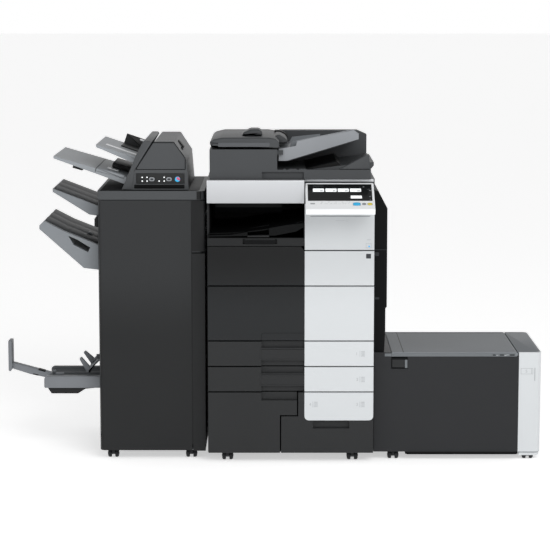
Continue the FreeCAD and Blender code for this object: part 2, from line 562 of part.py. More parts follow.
ramp = profile("feed_ramp", "XZ", [("390", Z_FEED), ("body_w - 16", Z_FEED),
                                   ("body_w - 4", total(Z_FEED, 14)),
                                   ("body_w - 4", total(Z_FEED, 26)), ("body_w - 26", total(Z_FEED, 26))],
               ("40", "feed_d - 40"))
lug = block("tray_lug", (less(X_BODY_R, 1), total(X_BODY_R, 22)), ("44", "59.5"),
            (less(TRAY_AXIS[1], 8), total(TRAY_AXIS[1], 8)))
pins = [rod("tray_pin_front", "Y", TRAY_AXIS, ("50", "78"), "pin_r"),
        rod("tray_pin_rear", "Y", TRAY_AXIS, ("72 + stack_d", "feed_d - 38"), "pin_r")]
posts = []
for number, y_mid in enumerate(COVER_TABS, start=1):
    y_post = (less(y_mid, "tab_t / 2"), total(y_mid, "tab_t / 2"))
    posts.append(block(f"cover_post_{number}", (less(COVER_AXIS[0], "tab_half"),
                                                total(COVER_AXIS[0], "tab_half")),
                       y_post, (less(Z_FEED_TOP, 2), COVER_AXIS[1])))
    posts.append(rod(f"cover_nose_{number}", "Y", COVER_AXIS, y_post, "tab_half"))
    posts.append(rod(f"cover_pin_{number}", "Y", COVER_AXIS,
                     (less(y_post[0], "pin_in"), total(y_post[1], "pin_in")), "pin_r"))
node("feeder_body", fuse("feeder_solid", [left, rear, ramp, lug] + pins + posts))
barrel = rod("roll_barrel", "Y", ROLL, ("140", "feed_d - 100"), "13")
node("feeder_roller", fuse("roll_solid", [barrel, rod("roll_shaft", "Y", ROLL, ("50", "feed_d - 10"),
                                                      "shaft_r"),
                                          block("roll_flag", (less(ROLL[0], 3), total(ROLL[0], 3)),
                                                ("100", "110"),
                                                (ROLL[1], total(ROLL[1], 10)))]))

cover_outline = [("base_inset + 1", Z_COVER), (total(X_BODY_R, 8), Z_COVER),
                 (total(X_BODY_R, 8), less(Z_TOP, 22)),
                 (less(X_BODY_R, 6), less(Z_TOP, 8)), (less(X_BODY_R, 34), less(Z_TOP, 4)),
                 ("base_inset + 46", less(Z_TOP, 4)), ("base_inset + 14", less(Z_TOP, 11)),
                 ("base_inset + 1", less(Z_TOP, 22))]
lid = profile("feeder_lid", "XZ", cover_outline, ("20", "20 + feed_d"))
grip_hood = profile("feeder_handle", "XZ", [("127", less(Z_TOP, 5)), ("206", less(Z_TOP, 5)),
                                            ("203", total(Z_TOP, 14)), ("190", total(Z_TOP, 21)),
                                            ("160", total(Z_TOP, 21)), ("134", total(Z_TOP, 9))],
                    ("110", "230"))
lid = fuse("feeder_lid_solid", [lid, grip_hood])
rooms = [block("lid_room", ("base_inset + 50", less(X_BODY_R, 16)), ("60", "feed_d - 20"),
               (less(Z_COVER, 1), less(Z_TOP, 12)))]
for number, y_mid in enumerate(COVER_TABS, start=1):
    y_room = (less(y_mid, "tab_t / 2", "tab_gap"), total(y_mid, "tab_t / 2", "tab_gap"))
    rooms.append(block(f"lid_notch_{number}",
                       ("base_inset - 1", total(COVER_AXIS[0], "tab_half", "tab_gap")),
                       y_room, (less(Z_COVER, 1), total(COVER_AXIS[1], "tab_half", "tab_gap"))))
    bore_y = (less(y_room[0], "pin_in"), total(y_room[1], "pin_in"))
    rooms.append(rod(f"lid_bore_{number}", "Y", COVER_AXIS, bore_y, "pin_r + pin_fit"))
node("feeder_cover", cut("feeder_lid_cut", lid, rooms))

# Document tray: a wedge that rises to the right, its front edge drawn back
X_STACK = total(X_BODY_R, 6)
X_TIP = total(X_STACK, "stack_run")
Z_ROOT = less(Z_FEED_TOP, 5)
RISE = "43"
wedge = profile("stack_wedge", "XZ", [(X_STACK, less(Z_ROOT, 40)), (total(X_STACK, 30), less(Z_ROOT, 40)),
                                      (X_TIP, total(Z_ROOT, RISE, -9)), (X_TIP, total(Z_ROOT, RISE)),
                                      (X_STACK, Z_ROOT)],
                ("60", "90 + stack_d"))
slope = profile("stack_slope", "XY", [(total(X_STACK, 20), "59"), (total(X_TIP, 1), "59"),
                                      (total(X_TIP, 1), "150")],
                (less(Z_ROOT, 60), total(Z_ROOT, 90)))
wall = profile("stack_wall", "XZ", [(X_STACK, less(Z_ROOT, 20)), (X_TIP, total(Z_ROOT, 36)),
                                    (X_TIP, total(Z_ROOT, 52)), (less(X_TIP, 22), total(Z_ROOT, 68)),
                                    (total(X_STACK, 68), total(Z_ROOT, 32)),
                                    (total(X_STACK, 64), total(Z_ROOT, 14)),
                                    (X_STACK, total(Z_ROOT, 4))], ("60", "160"))
behind = profile("stack_behind", "XY", [(less(X_STACK, 1), "68"), (total(X_STACK, 20), "68"),
                                        (total(X_TIP, 1), "159"), (total(X_TIP, 1), "161"),
                                        (less(X_STACK, 1), "161")], (less(Z_ROOT, 60), total(Z_ROOT, 90)))
wedge = fuse("stack_solid", [wedge, cut("stack_wall_cut", wall, [behind])])
tray_bore = rod("stack_bore", "Y", TRAY_AXIS, ("59", "91 + stack_d"), "pin_r + pin_fit")
node("document_tray", cut("stack_cut", wedge, [slope, tray_bore]))
X_GUIDE = total(X_STACK, 40)


def stack_z(x):
    """The level of the document tray's top at x."""
    return f"({Z_ROOT} + {RISE} * (({x}) - {X_STACK}) / stack_run)"


for name, y_low in (("document_guide_front", "130"), ("document_guide_rear", "60 + stack_d - 24")):
    x_far = total(X_GUIDE, 120)
    fin = [(X_GUIDE, total(stack_z(X_GUIDE), "slide_gap")), (x_far, total(stack_z(x_far), "slide_gap")),
           (x_far, total(stack_z(x_far), 16)), (total(X_GUIDE, 12), total(stack_z(X_GUIDE), 22))]
    node(name, profile(name + "_fin", "XZ", fin, (y_low, total(y_low, 4))))


# ---------------------------------------------------------------------------
# Operation panel: a tilted slab with a screen and three sprung keys
# ---------------------------------------------------------------------------
def tilted(item):
    """Leans a piece that is built flat about the panel's rear edge."""
    lean = FreeCAD.Rotation(FreeCAD.Vector(1, 0, 0), num("panel_tilt"))
    item.Placement = FreeCAD.Placement(FreeCAD.Vector(0, num("panel_y"), num("panel_z")), lean)
    item.setExpression("Placement.Base.y", bound("panel_y"))
    item.setExpression("Placement.Base.z", bound("panel_z"))
    item.setExpression("Placement.Rotation.Angle", bound("panel_tilt"))
    return item


SCREEN_X = ("panel_x + 8", "panel_x + panel_w - 8")
SCREEN_Y = ("-8 - screen_l", "-8")
KEYS = {"start_key": (("536", "563"), ("-159", "-138")), "stop_key": (("570", "583"), ("-155", "-142")),
        "reset_key": (("589", "606"), ("-156", "-141"))}
slab = block("panel_slab", ("panel_x", "panel_x + panel_w"), ("-panel_l", "0"), ("-panel_t", "0"))
slab = rounded("panel_round", slab, "edge_r * 2",
               lambda b, e: near(b.YMax, "-panel_l") or (along(b, "Y") and near(b.ZMin, "0")))
wells = [block("screen_well", SCREEN_X, SCREEN_Y, ("-screen_t", "1"))]
for name, (x, y) in KEYS.items():
    well_x = (less(x[0], "key_gap"), total(x[1], "key_gap"))
    well_y = (less(y[0], "key_gap"), total(y[1], "key_gap"))
    wells.append(block(name + "_well", well_x, well_y, ("-key_h - 4", "1")))
    cap = block(name + "_cap", x, y, ("-key_h - 2 + key_gap", "1.5"))
    node(name, tilted(rounded(name + "_round", cap, "1", lambda b, e: near(b.ZMin, "1.5"))))
slab = tilted(cut("panel_slab_cut", slab, wells))
spine = rod("panel_spine", "X", PANEL_AXIS, ("panel_x + 20", "panel_x + panel_w - 20"), "knuckle_r")
rooms = []
for number, x_mid in enumerate(PANEL_TABS, start=1):
    low = less(x_mid, "tab_t / 2", "tab_gap")
    high = total(x_mid, "tab_t / 2", "tab_gap")
    rooms.append(block(f"spine_room_{number}", (low, high), (less(PANEL_AXIS[0], "tab_half", "tab_gap"),
                                                             Y_PANEL_WALL),
                       (less(PANEL_AXIS[1], "tab_half", "tab_gap"), total(PANEL_AXIS[1], 24))))
    rooms.append(rod(f"spine_bore_{number}", "X", PANEL_AXIS, (less(low, "pin_in"), total(high, "pin_in")),
                     "pin_r + pin_fit"))
node("panel_housing", cut("panel_solid_cut", fuse("panel_solid", [slab, spine]), rooms))
pane = block("screen_pane", SCREEN_X, SCREEN_Y, ("-screen_t", "0"))
node("panel_screen", tilted(rounded("screen_round", pane, "0.4", lambda b, e: near(b.ZMin, "0"))))


# ---------------------------------------------------------------------------
# Finisher: a floor-standing cabinet to the left, with its tall front door
# ---------------------------------------------------------------------------
XF0 = "(0 - fin_gap - fin_w)"
XF1 = "(0 - fin_gap)"
YF_FACE = "(fin_y + 32)"
YF_BACK = "(fin_y + fin_d)"
ZF_TOP = "(fin_z + fin_h)"
FIN_AXIS = (total(XF0, 16), "(fin_y + 11)")
FIN_TABS = (total("fin_z", 60), less(ZF_TOP, 60))
FLAP_AXIS = (less(XF0, 12), "372")

walls = [
    block("fin_left", (XF0, total(XF0, 4)), (YF_FACE, YF_BACK), ("fin_z", ZF_TOP)),
    block("fin_right", (less(XF1, 4), XF1), (YF_FACE, YF_BACK), ("fin_z", ZF_TOP)),
    block("fin_rear", (XF0, XF1), (less(YF_BACK, 4), YF_BACK), ("fin_z", ZF_TOP)),
    block("fin_floor", (XF0, XF1), (YF_FACE, YF_BACK), ("fin_z", "fin_z + 6")),
    block("fin_roof", (XF0, XF1), (YF_FACE, YF_BACK), (less(ZF_TOP, 6), ZF_TOP)),
    block("fin_shelf_1", (XF0, XF1), (YF_FACE, YF_BACK), ("380", "384")),
    block("fin_shelf_2", (XF0, XF1), (YF_FACE, YF_BACK), ("680", "684")),
]
for number, z_low in enumerate(("868", "922"), start=1):
    walls.append(block(f"dock_lip_{number}", (less(XF1, 2), "0"), ("130", "530"),
                       (z_low, total(z_low, 10))))
for number, z_mid in enumerate(FIN_TABS, start=1):
    walls += upright_tab(f"fin_tab_{number}", FIN_AXIS[0], FIN_AXIS[1], YF_FACE, z_mid, XF0)
for number, y_low in enumerate(("180", "412"), start=1):
    walls.append(block(f"flap_ear_{number}", (less(XF0, 20), XF0), (y_low, total(y_low, 8)),
                       (less(FLAP_AXIS[1], 8), total(FLAP_AXIS[1], 10))))
openings = [block("entry_slot", (less(XF1, 5), total(XF1, 1)), ("140", "520"), ("880", "920")),
            block("main_exit", (less(XF0, 1), total(XF0, 5)), ("140", "560"), ("810", "850")),
            block("top_exit", (less(XF0, 1), total(XF0, 5)), ("140", "560"), ("950", "975")),
            block("booklet_exit", (less(XF0, 1), total(XF0, 5)), ("150", "500"), ("310", "345")),
            rod("flap_bore", "Y", FLAP_AXIS, ("170", "430"), "3.1")]
node("finisher_cabinet", cut("fin_cut", fuse("fin_walls", walls), openings))
edge_cover = block("fin_edge", (less(XF1, "edge_w"), XF1), ("fin_y", YF_FACE), ("fin_z", "edge_top - 4"))
door_outline = [(total(XF0, 2), "fin_z + 2"), (less(XF1, "edge_w", 3), "fin_z + 2"),
                (less(XF1, "edge_w", 3), "edge_top"), (less(XF1, 2), "edge_top"),
                (less(XF1, 2), less(ZF_TOP, 2)),
                (total(XF0, 2), less(ZF_TOP, 2))]
slab = profile("fin_door_slab", "XZ", door_outline, ("fin_y", "fin_y + front_t"))
slab = rounded("fin_door_round", slab, "fin_r", lambda b, e: along(b, "Z") and near(b.YMax, "fin_y")
               and (near(b.XMin, XF0 + " + 2") or near(b.XMin, XF1 + " - 2")))
notches = []
for number, z_mid in enumerate(FIN_TABS, start=1):
    notches += upright_notch(f"fin_notch_{number}", FIN_AXIS[0], FIN_AXIS[1], less(XF0, 1),
                             "fin_y + front_t + 1", z_mid)
hand = block("fin_hand", (less(XF1, "edge_w", 12), less(XF1, "edge_w", 2)),
             ("fin_y + 6", "fin_y + front_t + 1"), ("420", "690"))
node("finisher_door", cut("fin_door_cut", slab, notches + [hand]))
top = block("fin_top_slab", (XF0, XF1), ("fin_y", YF_BACK), (ZF_TOP, total(ZF_TOP, "fin_top")))
top = rounded("fin_top_round", top, "fin_r", lambda b, e: along(b, "Z"))
node("finisher_covers", fuse("fin_covers_group", [edge_cover, top]))


# ---------------------------------------------------------------------------
# Inserter on the finisher, with its keys and two feed trays
# ---------------------------------------------------------------------------
ZI = total(ZF_TOP, "fin_top")
XI = "(0 - fin_gap - 60 - ins_w)"
XI1 = total(XI, "ins_w")
LEAN = "(ins_w - ins_top - 54)"


def face_x(z, gap):
    """X of the inserter's leaning left face at a height above its foot."""
    return f"({XI} + {LEAN} * ({z}) / ins_h - ({gap}))"


shape = [(XI, ZI), (XI1, ZI), (less(XI1, 9), total(ZI, 112)), (less(XI1, 54), total(ZI, "ins_h")),
         (less(XI1, 54, "ins_top"), total(ZI, "ins_h"))]
hull = profile("inserter_hull", "XZ", shape, ("ins_y", "ins_y + ins_d"))
hull = rounded("inserter_round", hull, "edge_r * 4", lambda b, e: along(b, "Y") and b.ZMin > num(ZI) + 1)
recess = block("inserter_recess", (total(XI, 52), less(XI1, 15)), ("ins_y - 1", "ins_y + 6"),
               (total(ZI, 22), total(ZI, 63)))
room = block("inserter_room", (total(XI, 70), less(XI1, 30)), ("ins_y + 20", "ins_y + ins_d - 20"),
             (less(ZI, 1), total(ZI, 90)))
KEY_Z = total(ZI, 40)
KEY_X = (less(XI1, 42), less(XI1, 74), less(XI1, 138))
wells = [rod(f"ins_well_{i}", "Y", (x, KEY_Z), ("ins_y + 4", "ins_y + 14"), "9.3") for i,
         x in enumerate(KEY_X)]
slot = block("inserter_slot", (less(XI1, 62), total(XI1, 1)), ("ins_y + 100", "ins_y + 250"),
             (total(ZI, 140), total(ZI, 150)))
node("inserter_body", cut("inserter_cut", hull, [recess, room, slot] + wells))
KEY_Y = ("ins_y + 2", "ins_y + 11.7")
node("inserter_start_key", rod("ins_start", "Y", (KEY_X[0], KEY_Z), KEY_Y, "9"))
node("inserter_left_key", rod("ins_left", "Y", (KEY_X[2], KEY_Z), KEY_Y, "9"))
node("inserter_right_key", rod("ins_right", "Y", (KEY_X[1], KEY_Z), KEY_Y, "9"))
for name, tip, root, deep in (("inserter_upper_tray", (100, 166), 108, 20),
                              ("inserter_lower_tray", (260, 123), 40, 24)):
    x_tip = less(XI, tip[0])
    outline = [(x_tip, total(ZI, tip[1] - 9)), (face_x(root - deep, 0.3), total(ZI, root - deep)),
               (face_x(root, 0.3), total(ZI, root)), (x_tip, total(ZI, tip[1]))]
    node(name, profile(name + "_plate", "XZ", outline, ("ins_y + 54", "ins_y + ins_d - 50")))


# ---------------------------------------------------------------------------
# Output trays on the finisher's left: sample tray, main tray, booklet tray
# ---------------------------------------------------------------------------
UP_TIP = (less(XF0, 177), "1018")
upper_outline = [(UP_TIP[0], less(UP_TIP[1], 12)), (less(XF0, 40), "920"), (XF0, "914"), (XF0, "950"),
                 UP_TIP]
node("upper_output_tray", profile("upper_tray", "XZ", upper_outline, ("170", "580")))
MAIN_TIP = (less(XF0, 226), "882")
main_outline = [(MAIN_TIP[0], less(MAIN_TIP[1], 14)), (less(XF0, 60), "720"), (less(XF0, "slide_gap"), "713"),
                (less(XF0, "slide_gap"), "806"), (less(XF0, 137), "861"), (less(XF0, 208), "898"), MAIN_TIP]
deck = profile("main_tray", "XZ", main_outline, ("140", "580"))
hole = profile("main_hole", "XZ", [(less(XF0, 98), "808"), (less(XF0, 44), "780"), (less(XF0, 35), "798"),
                                   (less(XF0, 84), "828"), (less(XF0, 97), "834"), (less(XF0, 117), "842")],
               ("139", "581"))
node("main_output_tray", cut("main_tray_cut", deck, [hole]))
booklet_outline = [(less(XF0, 218), "276"), (less(XF0, 214), "257"), (less(XF0, 80), "240"), (XF0, "236"),
                   (XF0, "286"), (less(XF0, 218), "286")]
deck = profile("booklet_deck", "XZ", booklet_outline, ("150", "500"))
groove = block("booklet_groove", (less(XF0, 219), less(XF0, 5)), ("315", "345"), ("268", "287"))
node("booklet_tray", cut("booklet_cut", deck, [groove]))
arm = profile("stop_arm", "XZ", [(less(XF0, 215), "268.3"), (less(XF0, 100), "268.3"),
                                 (less(XF0, 100), "282"),
                                 (less(XF0, 215), "282"), (less(XF0, 345), "322"), (less(XF0, 355), "310")],
              ("315.3", "344.7"))
plate = block("stop_plate", (less(XF0, 379), less(XF0, 350)), ("285", "375"), ("288", "415"))
hollow = block("stop_hollow", (less(XF0, 380), less(XF0, 355)), ("291", "369"), ("294", "409"))
node("booklet_stop", fuse("stop_solid", [arm, cut("stop_plate_cut", plate, [hollow])]))
flaps = [rod("flap_shaft", "Y", FLAP_AXIS, ("176", "424"), "3")]
for number, y_low in enumerate(("200", "320"), start=1):
    outline = [(total(FLAP_AXIS[0], 5), "378"), (less(FLAP_AXIS[0], 6), "378"),
               (less(FLAP_AXIS[0], 64), "300"),
               (less(FLAP_AXIS[0], 56), "293"), (less(FLAP_AXIS[0], 44), "296"),
               (total(FLAP_AXIS[0], 5), "362")]
    flaps.append(profile(f"flap_{number}", "XZ", outline, (y_low, total(y_low, 80))))
node("booklet_flaps", fuse("flap_solid", flaps))


# ---------------------------------------------------------------------------
# Side paper unit: open-topped cabinet, lid, lift plate, lever and end cover
# ---------------------------------------------------------------------------
XL0 = "(body_w + 2)"
XL1 = total(XL0, "lct_w")
YL1 = "(lct_y + lct_d)"
ZL1 = "(lct_z + lct_h)"
ZL_TOP = total(ZL1, "lid_t")
LID_AXIS = (less(XL1, "lid_t / 2", 4), total(ZL1, 0.3, "lid_t / 2"))
LID_TABS = ("lct_y + 70", "lct_y + lct_d - 70")
LEVER = (total(XL0, 66), total(XL0, 126))
LEVER_AXIS = ("lct_y + 5", less(ZL1, 10))

case = block("lct_case", (XL0, XL1), ("lct_y", YL1), ("lct_z", ZL1))
room = block("lct_room", (total(XL0, "lct_wall"), less(XL1, "lct_wall")),
             ("lct_y + lct_wall", less(YL1, "lct_wall")),
             ("lct_z + 6", total(ZL1, 1)))
box_out = block("lever_box", (less(LEVER[0], 5), total(LEVER[1], 5)), ("lct_y + 1", "lct_y + 20"),
                (less(ZL1, 50), ZL1))
box_in = block("lever_room", (less(LEVER[0], 1), total(LEVER[1], 1)), ("lct_y - 1", "lct_y + 16"),
               (less(ZL1, 46), less(ZL1, 1)))
strip = block("lct_strip", (XL0, total(XL0, "lid_x", -2)), ("lct_y", YL1),
              (less(ZL1, 1), total(ZL_TOP, 0.3)))
skirt = block("lct_skirt", (total(XL0, 121), XL1), ("lct_y + 10", less(YL1, 10)), ("20.6", "lct_z + 1"))
sill = block("lct_sill", (less(XL1, 1), total(XL1, "end_w - 5.3")), ("lct_y + 5.3", less(YL1, 5.3)),
             ("lct_z", "lct_z + 4"))
parts = [cut("lct_hollow", case, [room]), box_out, strip, skirt, sill]
pins = []
for number, x in enumerate(LEVER):
    pins.append(rod(f"lever_pin_{number}", "X", LEVER_AXIS, (less(x, 3), total(x, 3)), "pin_r"))
for number, y_mid in enumerate(LID_TABS, start=1):
    y = (less(y_mid, "tab_t / 2"), total(y_mid, "tab_t / 2"))
    pins.append(block(f"lid_post_{number}", (less(LID_AXIS[0], "tab_half"), total(LID_AXIS[0], "tab_half")),
                      y,
                      (less(ZL1, 20), LID_AXIS[1])))
    pins.append(block(f"lid_foot_{number}", (less(LID_AXIS[0], "tab_half"), XL1), y,
                      (less(ZL1, 20), less(ZL1, 10))))
    pins.append(rod(f"lid_nose_{number}", "Y", LID_AXIS, y, "tab_half"))
    pins.append(rod(f"lid_pin_{number}", "Y", LID_AXIS, (less(y[0], "pin_in"), total(y[1], "pin_in")),
                    "pin_r"))
node("side_unit_cabinet", fuse("lct_solid", [cut("lct_cut", fuse("lct_parts", parts), [box_in])] + pins))
lid = block("lid_slab", (total(XL0, "lid_x"), less(XL1, 4)), ("lct_y + 1", less(YL1, 1)),
            (total(ZL1, 0.3), total(ZL_TOP, 0.3)))
lid = rounded("lid_round", lid, "lid_t / 2 - 0.05", lambda b, e: along(b, "Y") and near(b.XMax,
                                                                                        XL1 + " - 4"))
rooms = []
for number, y_mid in enumerate(LID_TABS, start=1):
    y = (less(y_mid, "tab_t / 2", "tab_gap"), total(y_mid, "tab_t / 2", "tab_gap"))
    rooms.append(block(f"lid_room_{number}", (less(LID_AXIS[0], "tab_half", "tab_gap"), XL1), y,
                       (less(ZL1, 1), total(LID_AXIS[1], "tab_half", "tab_gap"))))
    rooms.append(rod(f"side_lid_bore_{number}", "Y", LID_AXIS,
                     (less(y[0], "pin_in"), total(y[1], "pin_in")),
                     "pin_r + pin_fit"))
node("side_unit_lid", cut("lid_cut", lid, rooms))
node("side_unit_lift_plate", block("lift_plate", (total(XL0, "lct_wall", 0.3), less(XL1, "lct_wall", 6)),
                                   ("lct_y + 21", less(YL1, "lct_wall", 0.3)),
                                   ("lct_z + 6.3", "lct_z + 10")))
lever = fuse("lever_solid", [block("lever_bar", LEVER, ("lct_y - 3", "lct_y + 10"),
                                   (less(ZL1, 44), LEVER_AXIS[1])),
                             rod("lever_nose", "X", LEVER_AXIS, LEVER, "8")])
lever_bore = rod("lever_bore", "X", LEVER_AXIS, (less(LEVER[0], 1), total(LEVER[1], 1)), "pin_r + pin_fit")
node("side_unit_lever", cut("lever_cut", lever, [lever_bore]))
end = block("end_slab", (XL1, total(XL1, "end_w")), ("lct_y", YL1), ("lct_z", ZL_TOP))
end = rounded("end_round", end, "corner_r", lambda b, e: along(b, "Z") and near(b.XMax, XL1 + " + end_w"))
room = block("end_room", (less(XL1, 1), total(XL1, "end_w - 5")), ("lct_y + 5", less(YL1, 5)),
             ("lct_z - 1", less(ZL_TOP, 5)))
node("side_unit_end_cover", cut("end_cut", end, [room]))
side_outline = [("body_w", total(ZL_TOP, 1)), ("body_w + 40", total(ZL_TOP, 1)), ("body_w + 44", "492"),
                ("body_w + 44", "579"), ("body_w + 49", "584"), ("body_w + 49", "955"),
                ("body_w + 15", "1019"),
                ("body_w", "1024")]
side = profile("right_unit_slab", "XZ", side_outline, ("60", "660"))
room = block("right_unit_room", ("body_w - 1", "body_w + 38"), ("66", "654"), ("430", "948"))
node("right_side_unit", cut("right_unit_cut", side, [room]))


# ---------------------------------------------------------------------------
# Twin-wheel casters under the three units, and the engine's levelling feet
# ---------------------------------------------------------------------------
SPOTS = []
for x, base, y_front, y_back in ((total(XF0, 48), "fin_z", "fin_y + 48", "fin_y + fin_d - 60"),
                                 (less(XF1, 55), "fin_z", "fin_y + 48", "fin_y + fin_d - 60"),
                                 ("73", "body_z", "60", "body_d - 60"), ("body_w - 78", "body_z", "60",
                                                                         "body_d - 60"),
                                 (total(XL0, 75), "lct_z", "lct_y + 30", "lct_y + lct_d - 40"),
                                 (total(XL1, 40), "lct_z", "lct_y + 30", "lct_y + lct_d - 40")):
    SPOTS += [(x, y_front, base), (x, y_back, base)]
brackets = []
wheels = []
for number, (x, y, base) in enumerate(SPOTS):
    radius = f"(({base}) - 3) / 2"
    brackets.append(block(f"caster_plate_{number}", (less(x, 20), total(x, 20)),
                          (less(y, 20), total(y, 20)),
                          (less(base, 2), base)))
    brackets.append(block(f"caster_stem_{number}", (less(x, "wheel_gap / 2 - 0.5"),
                                                    total(x, "wheel_gap / 2 - 0.5")),
                          (less(y, 9), total(y, 9)), (radius, less(base, 1))))
    brackets.append(rod(f"caster_axle_{number}", "X", (y, radius),
                        (less(x, "wheel_w + 4"), total(x, "wheel_w + 4")), "4"))
    for side in (-1, 1):
        inner = f"({x} + {side} * wheel_gap / 2)"
        outer = f"({x} + {side} * (wheel_gap / 2 + wheel_w))"
        ends = tuple(sorted((inner, outer), key=num))
        wheel = rod(f"wheel_{number}_{side + 1}", "X", (y, radius), ends, radius)
        hub = rod(f"hub_{number}_{side + 1}", "X", (y, radius), (less(ends[0], 1), total(ends[1], 1)),
                  "4.1")
        wheels.append(cut(f"wheel_cut_{number}_{side + 1}", wheel, [hub]))
node("caster_brackets", fuse("bracket_group", brackets))
node("caster_wheels", fuse("wheel_group", wheels))
feet = []
for i, x in enumerate(("73", "body_w - 78")):
    for k, y in enumerate(("120", "body_d - 120")):
        feet.append(rod(f"foot_{i}_{k}", "Z", (x, y), ("0", "foot_h"), "foot_r"))
        feet.append(rod(f"foot_stem_{i}_{k}", "Z", (x, y), ("foot_h - 1", "body_z"), "foot_r * 0.3"))
node("levelling_feet", fuse("feet_group", feet))


# ---------------------------------------------------------------------------
# Origin under the middle of the machine, then every sub-part to its own file
# ---------------------------------------------------------------------------
doc.recompute()
box = FreeCAD.BoundBox()
for label, item in NODES.items():
    if item.Shape.isNull():
        raise ValueError(f"{label} has no shape")
    box.add(item.Shape.BoundBox)
shift = FreeCAD.Vector(-box.Center.x, -box.Center.y, 0)
failed = [o.Label for o in doc.Objects if "Invalid" in o.State or "Error" in o.State]
for label, item in NODES.items():
    shape = item.Shape.copy()
    if not shape.isValid() or not shape.Solids:
        failed.append(label)
if failed:
    raise ValueError("failed objects: " + ", ".join(failed))
for label, item in NODES.items():
    shape = item.Shape.copy()
    shape.translate(shift)
    shape.exportStep(os.path.join("parts", label + ".step"))
print(f"{len(NODES)} sub-parts, {box.XLength:.1f} x {box.YLength:.1f} x {box.ZMax:.1f}, shift {shift}")
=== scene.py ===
import bmesh
import bpy
import math
import numpy as np
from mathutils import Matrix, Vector


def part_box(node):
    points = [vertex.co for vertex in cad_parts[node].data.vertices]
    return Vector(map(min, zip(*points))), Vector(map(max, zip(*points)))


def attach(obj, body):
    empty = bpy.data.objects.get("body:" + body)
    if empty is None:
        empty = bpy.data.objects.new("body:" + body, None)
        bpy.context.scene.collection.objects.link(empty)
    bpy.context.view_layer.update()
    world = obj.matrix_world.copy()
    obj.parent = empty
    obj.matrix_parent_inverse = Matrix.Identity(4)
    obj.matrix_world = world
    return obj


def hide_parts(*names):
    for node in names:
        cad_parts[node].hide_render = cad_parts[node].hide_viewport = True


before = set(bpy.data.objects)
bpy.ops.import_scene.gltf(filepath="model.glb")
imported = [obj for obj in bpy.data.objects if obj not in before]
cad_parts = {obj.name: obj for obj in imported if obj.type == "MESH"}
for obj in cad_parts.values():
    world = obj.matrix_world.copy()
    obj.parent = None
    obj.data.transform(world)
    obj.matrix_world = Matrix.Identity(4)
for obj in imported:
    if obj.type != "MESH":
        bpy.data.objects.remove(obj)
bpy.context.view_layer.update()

# ---------------------------------------------------------------------------
# Engine covers and dark fronts: large panels moulded from charcoal ABS in
# spark-eroded tools and clipped to the frame.  The fine grain gives a soft
# sheen and a faint unevenness, never a mirror reflection.
# ---------------------------------------------------------------------------
ENGINE_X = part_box("engine_frame")[0][0]
FACE_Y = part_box("front_door")[0][1]
MM = 0.001
GRAIN_MM = 1.6          # real grain is about 0.2 mm; drawn coarser so that it shows
FLOW_MM = 260           # slow change of tone over a large moulding


def linear(hex_colour):
    """An sRGB hex colour as linear RGBA."""
    parts = np.array([int(hex_colour[i:i + 2], 16) / 255 for i in (1, 3, 5)])
    flat = np.where(parts <= 0.04045, parts / 12.92, ((parts + 0.055) / 1.055) ** 2.4)
    return (*flat.tolist(), 1.0)


def add(tree, kind, settings=None, inputs=None):
    """Adds a node, sets its properties and sockets, and links sockets given as (node, output)."""
    made = tree.nodes.new(kind)
    for key, value in (settings or {}).items():
        setattr(made, key, value)
    for key, value in (inputs or {}).items():
        if isinstance(value, tuple) and len(value) == 2 and hasattr(value[0], "outputs"):
            tree.links.new(value[0].outputs[value[1]], made.inputs[key])
        else:
            made.inputs[key].default_value = value
    return made


def blank(name):
    """A new material with an empty node tree, and its Object coordinates."""
    material = bpy.data.materials.new(name)
    material.use_nodes = True
    material.node_tree.nodes.clear()
    return material, material.node_tree, add(material.node_tree, "ShaderNodeTexCoord")


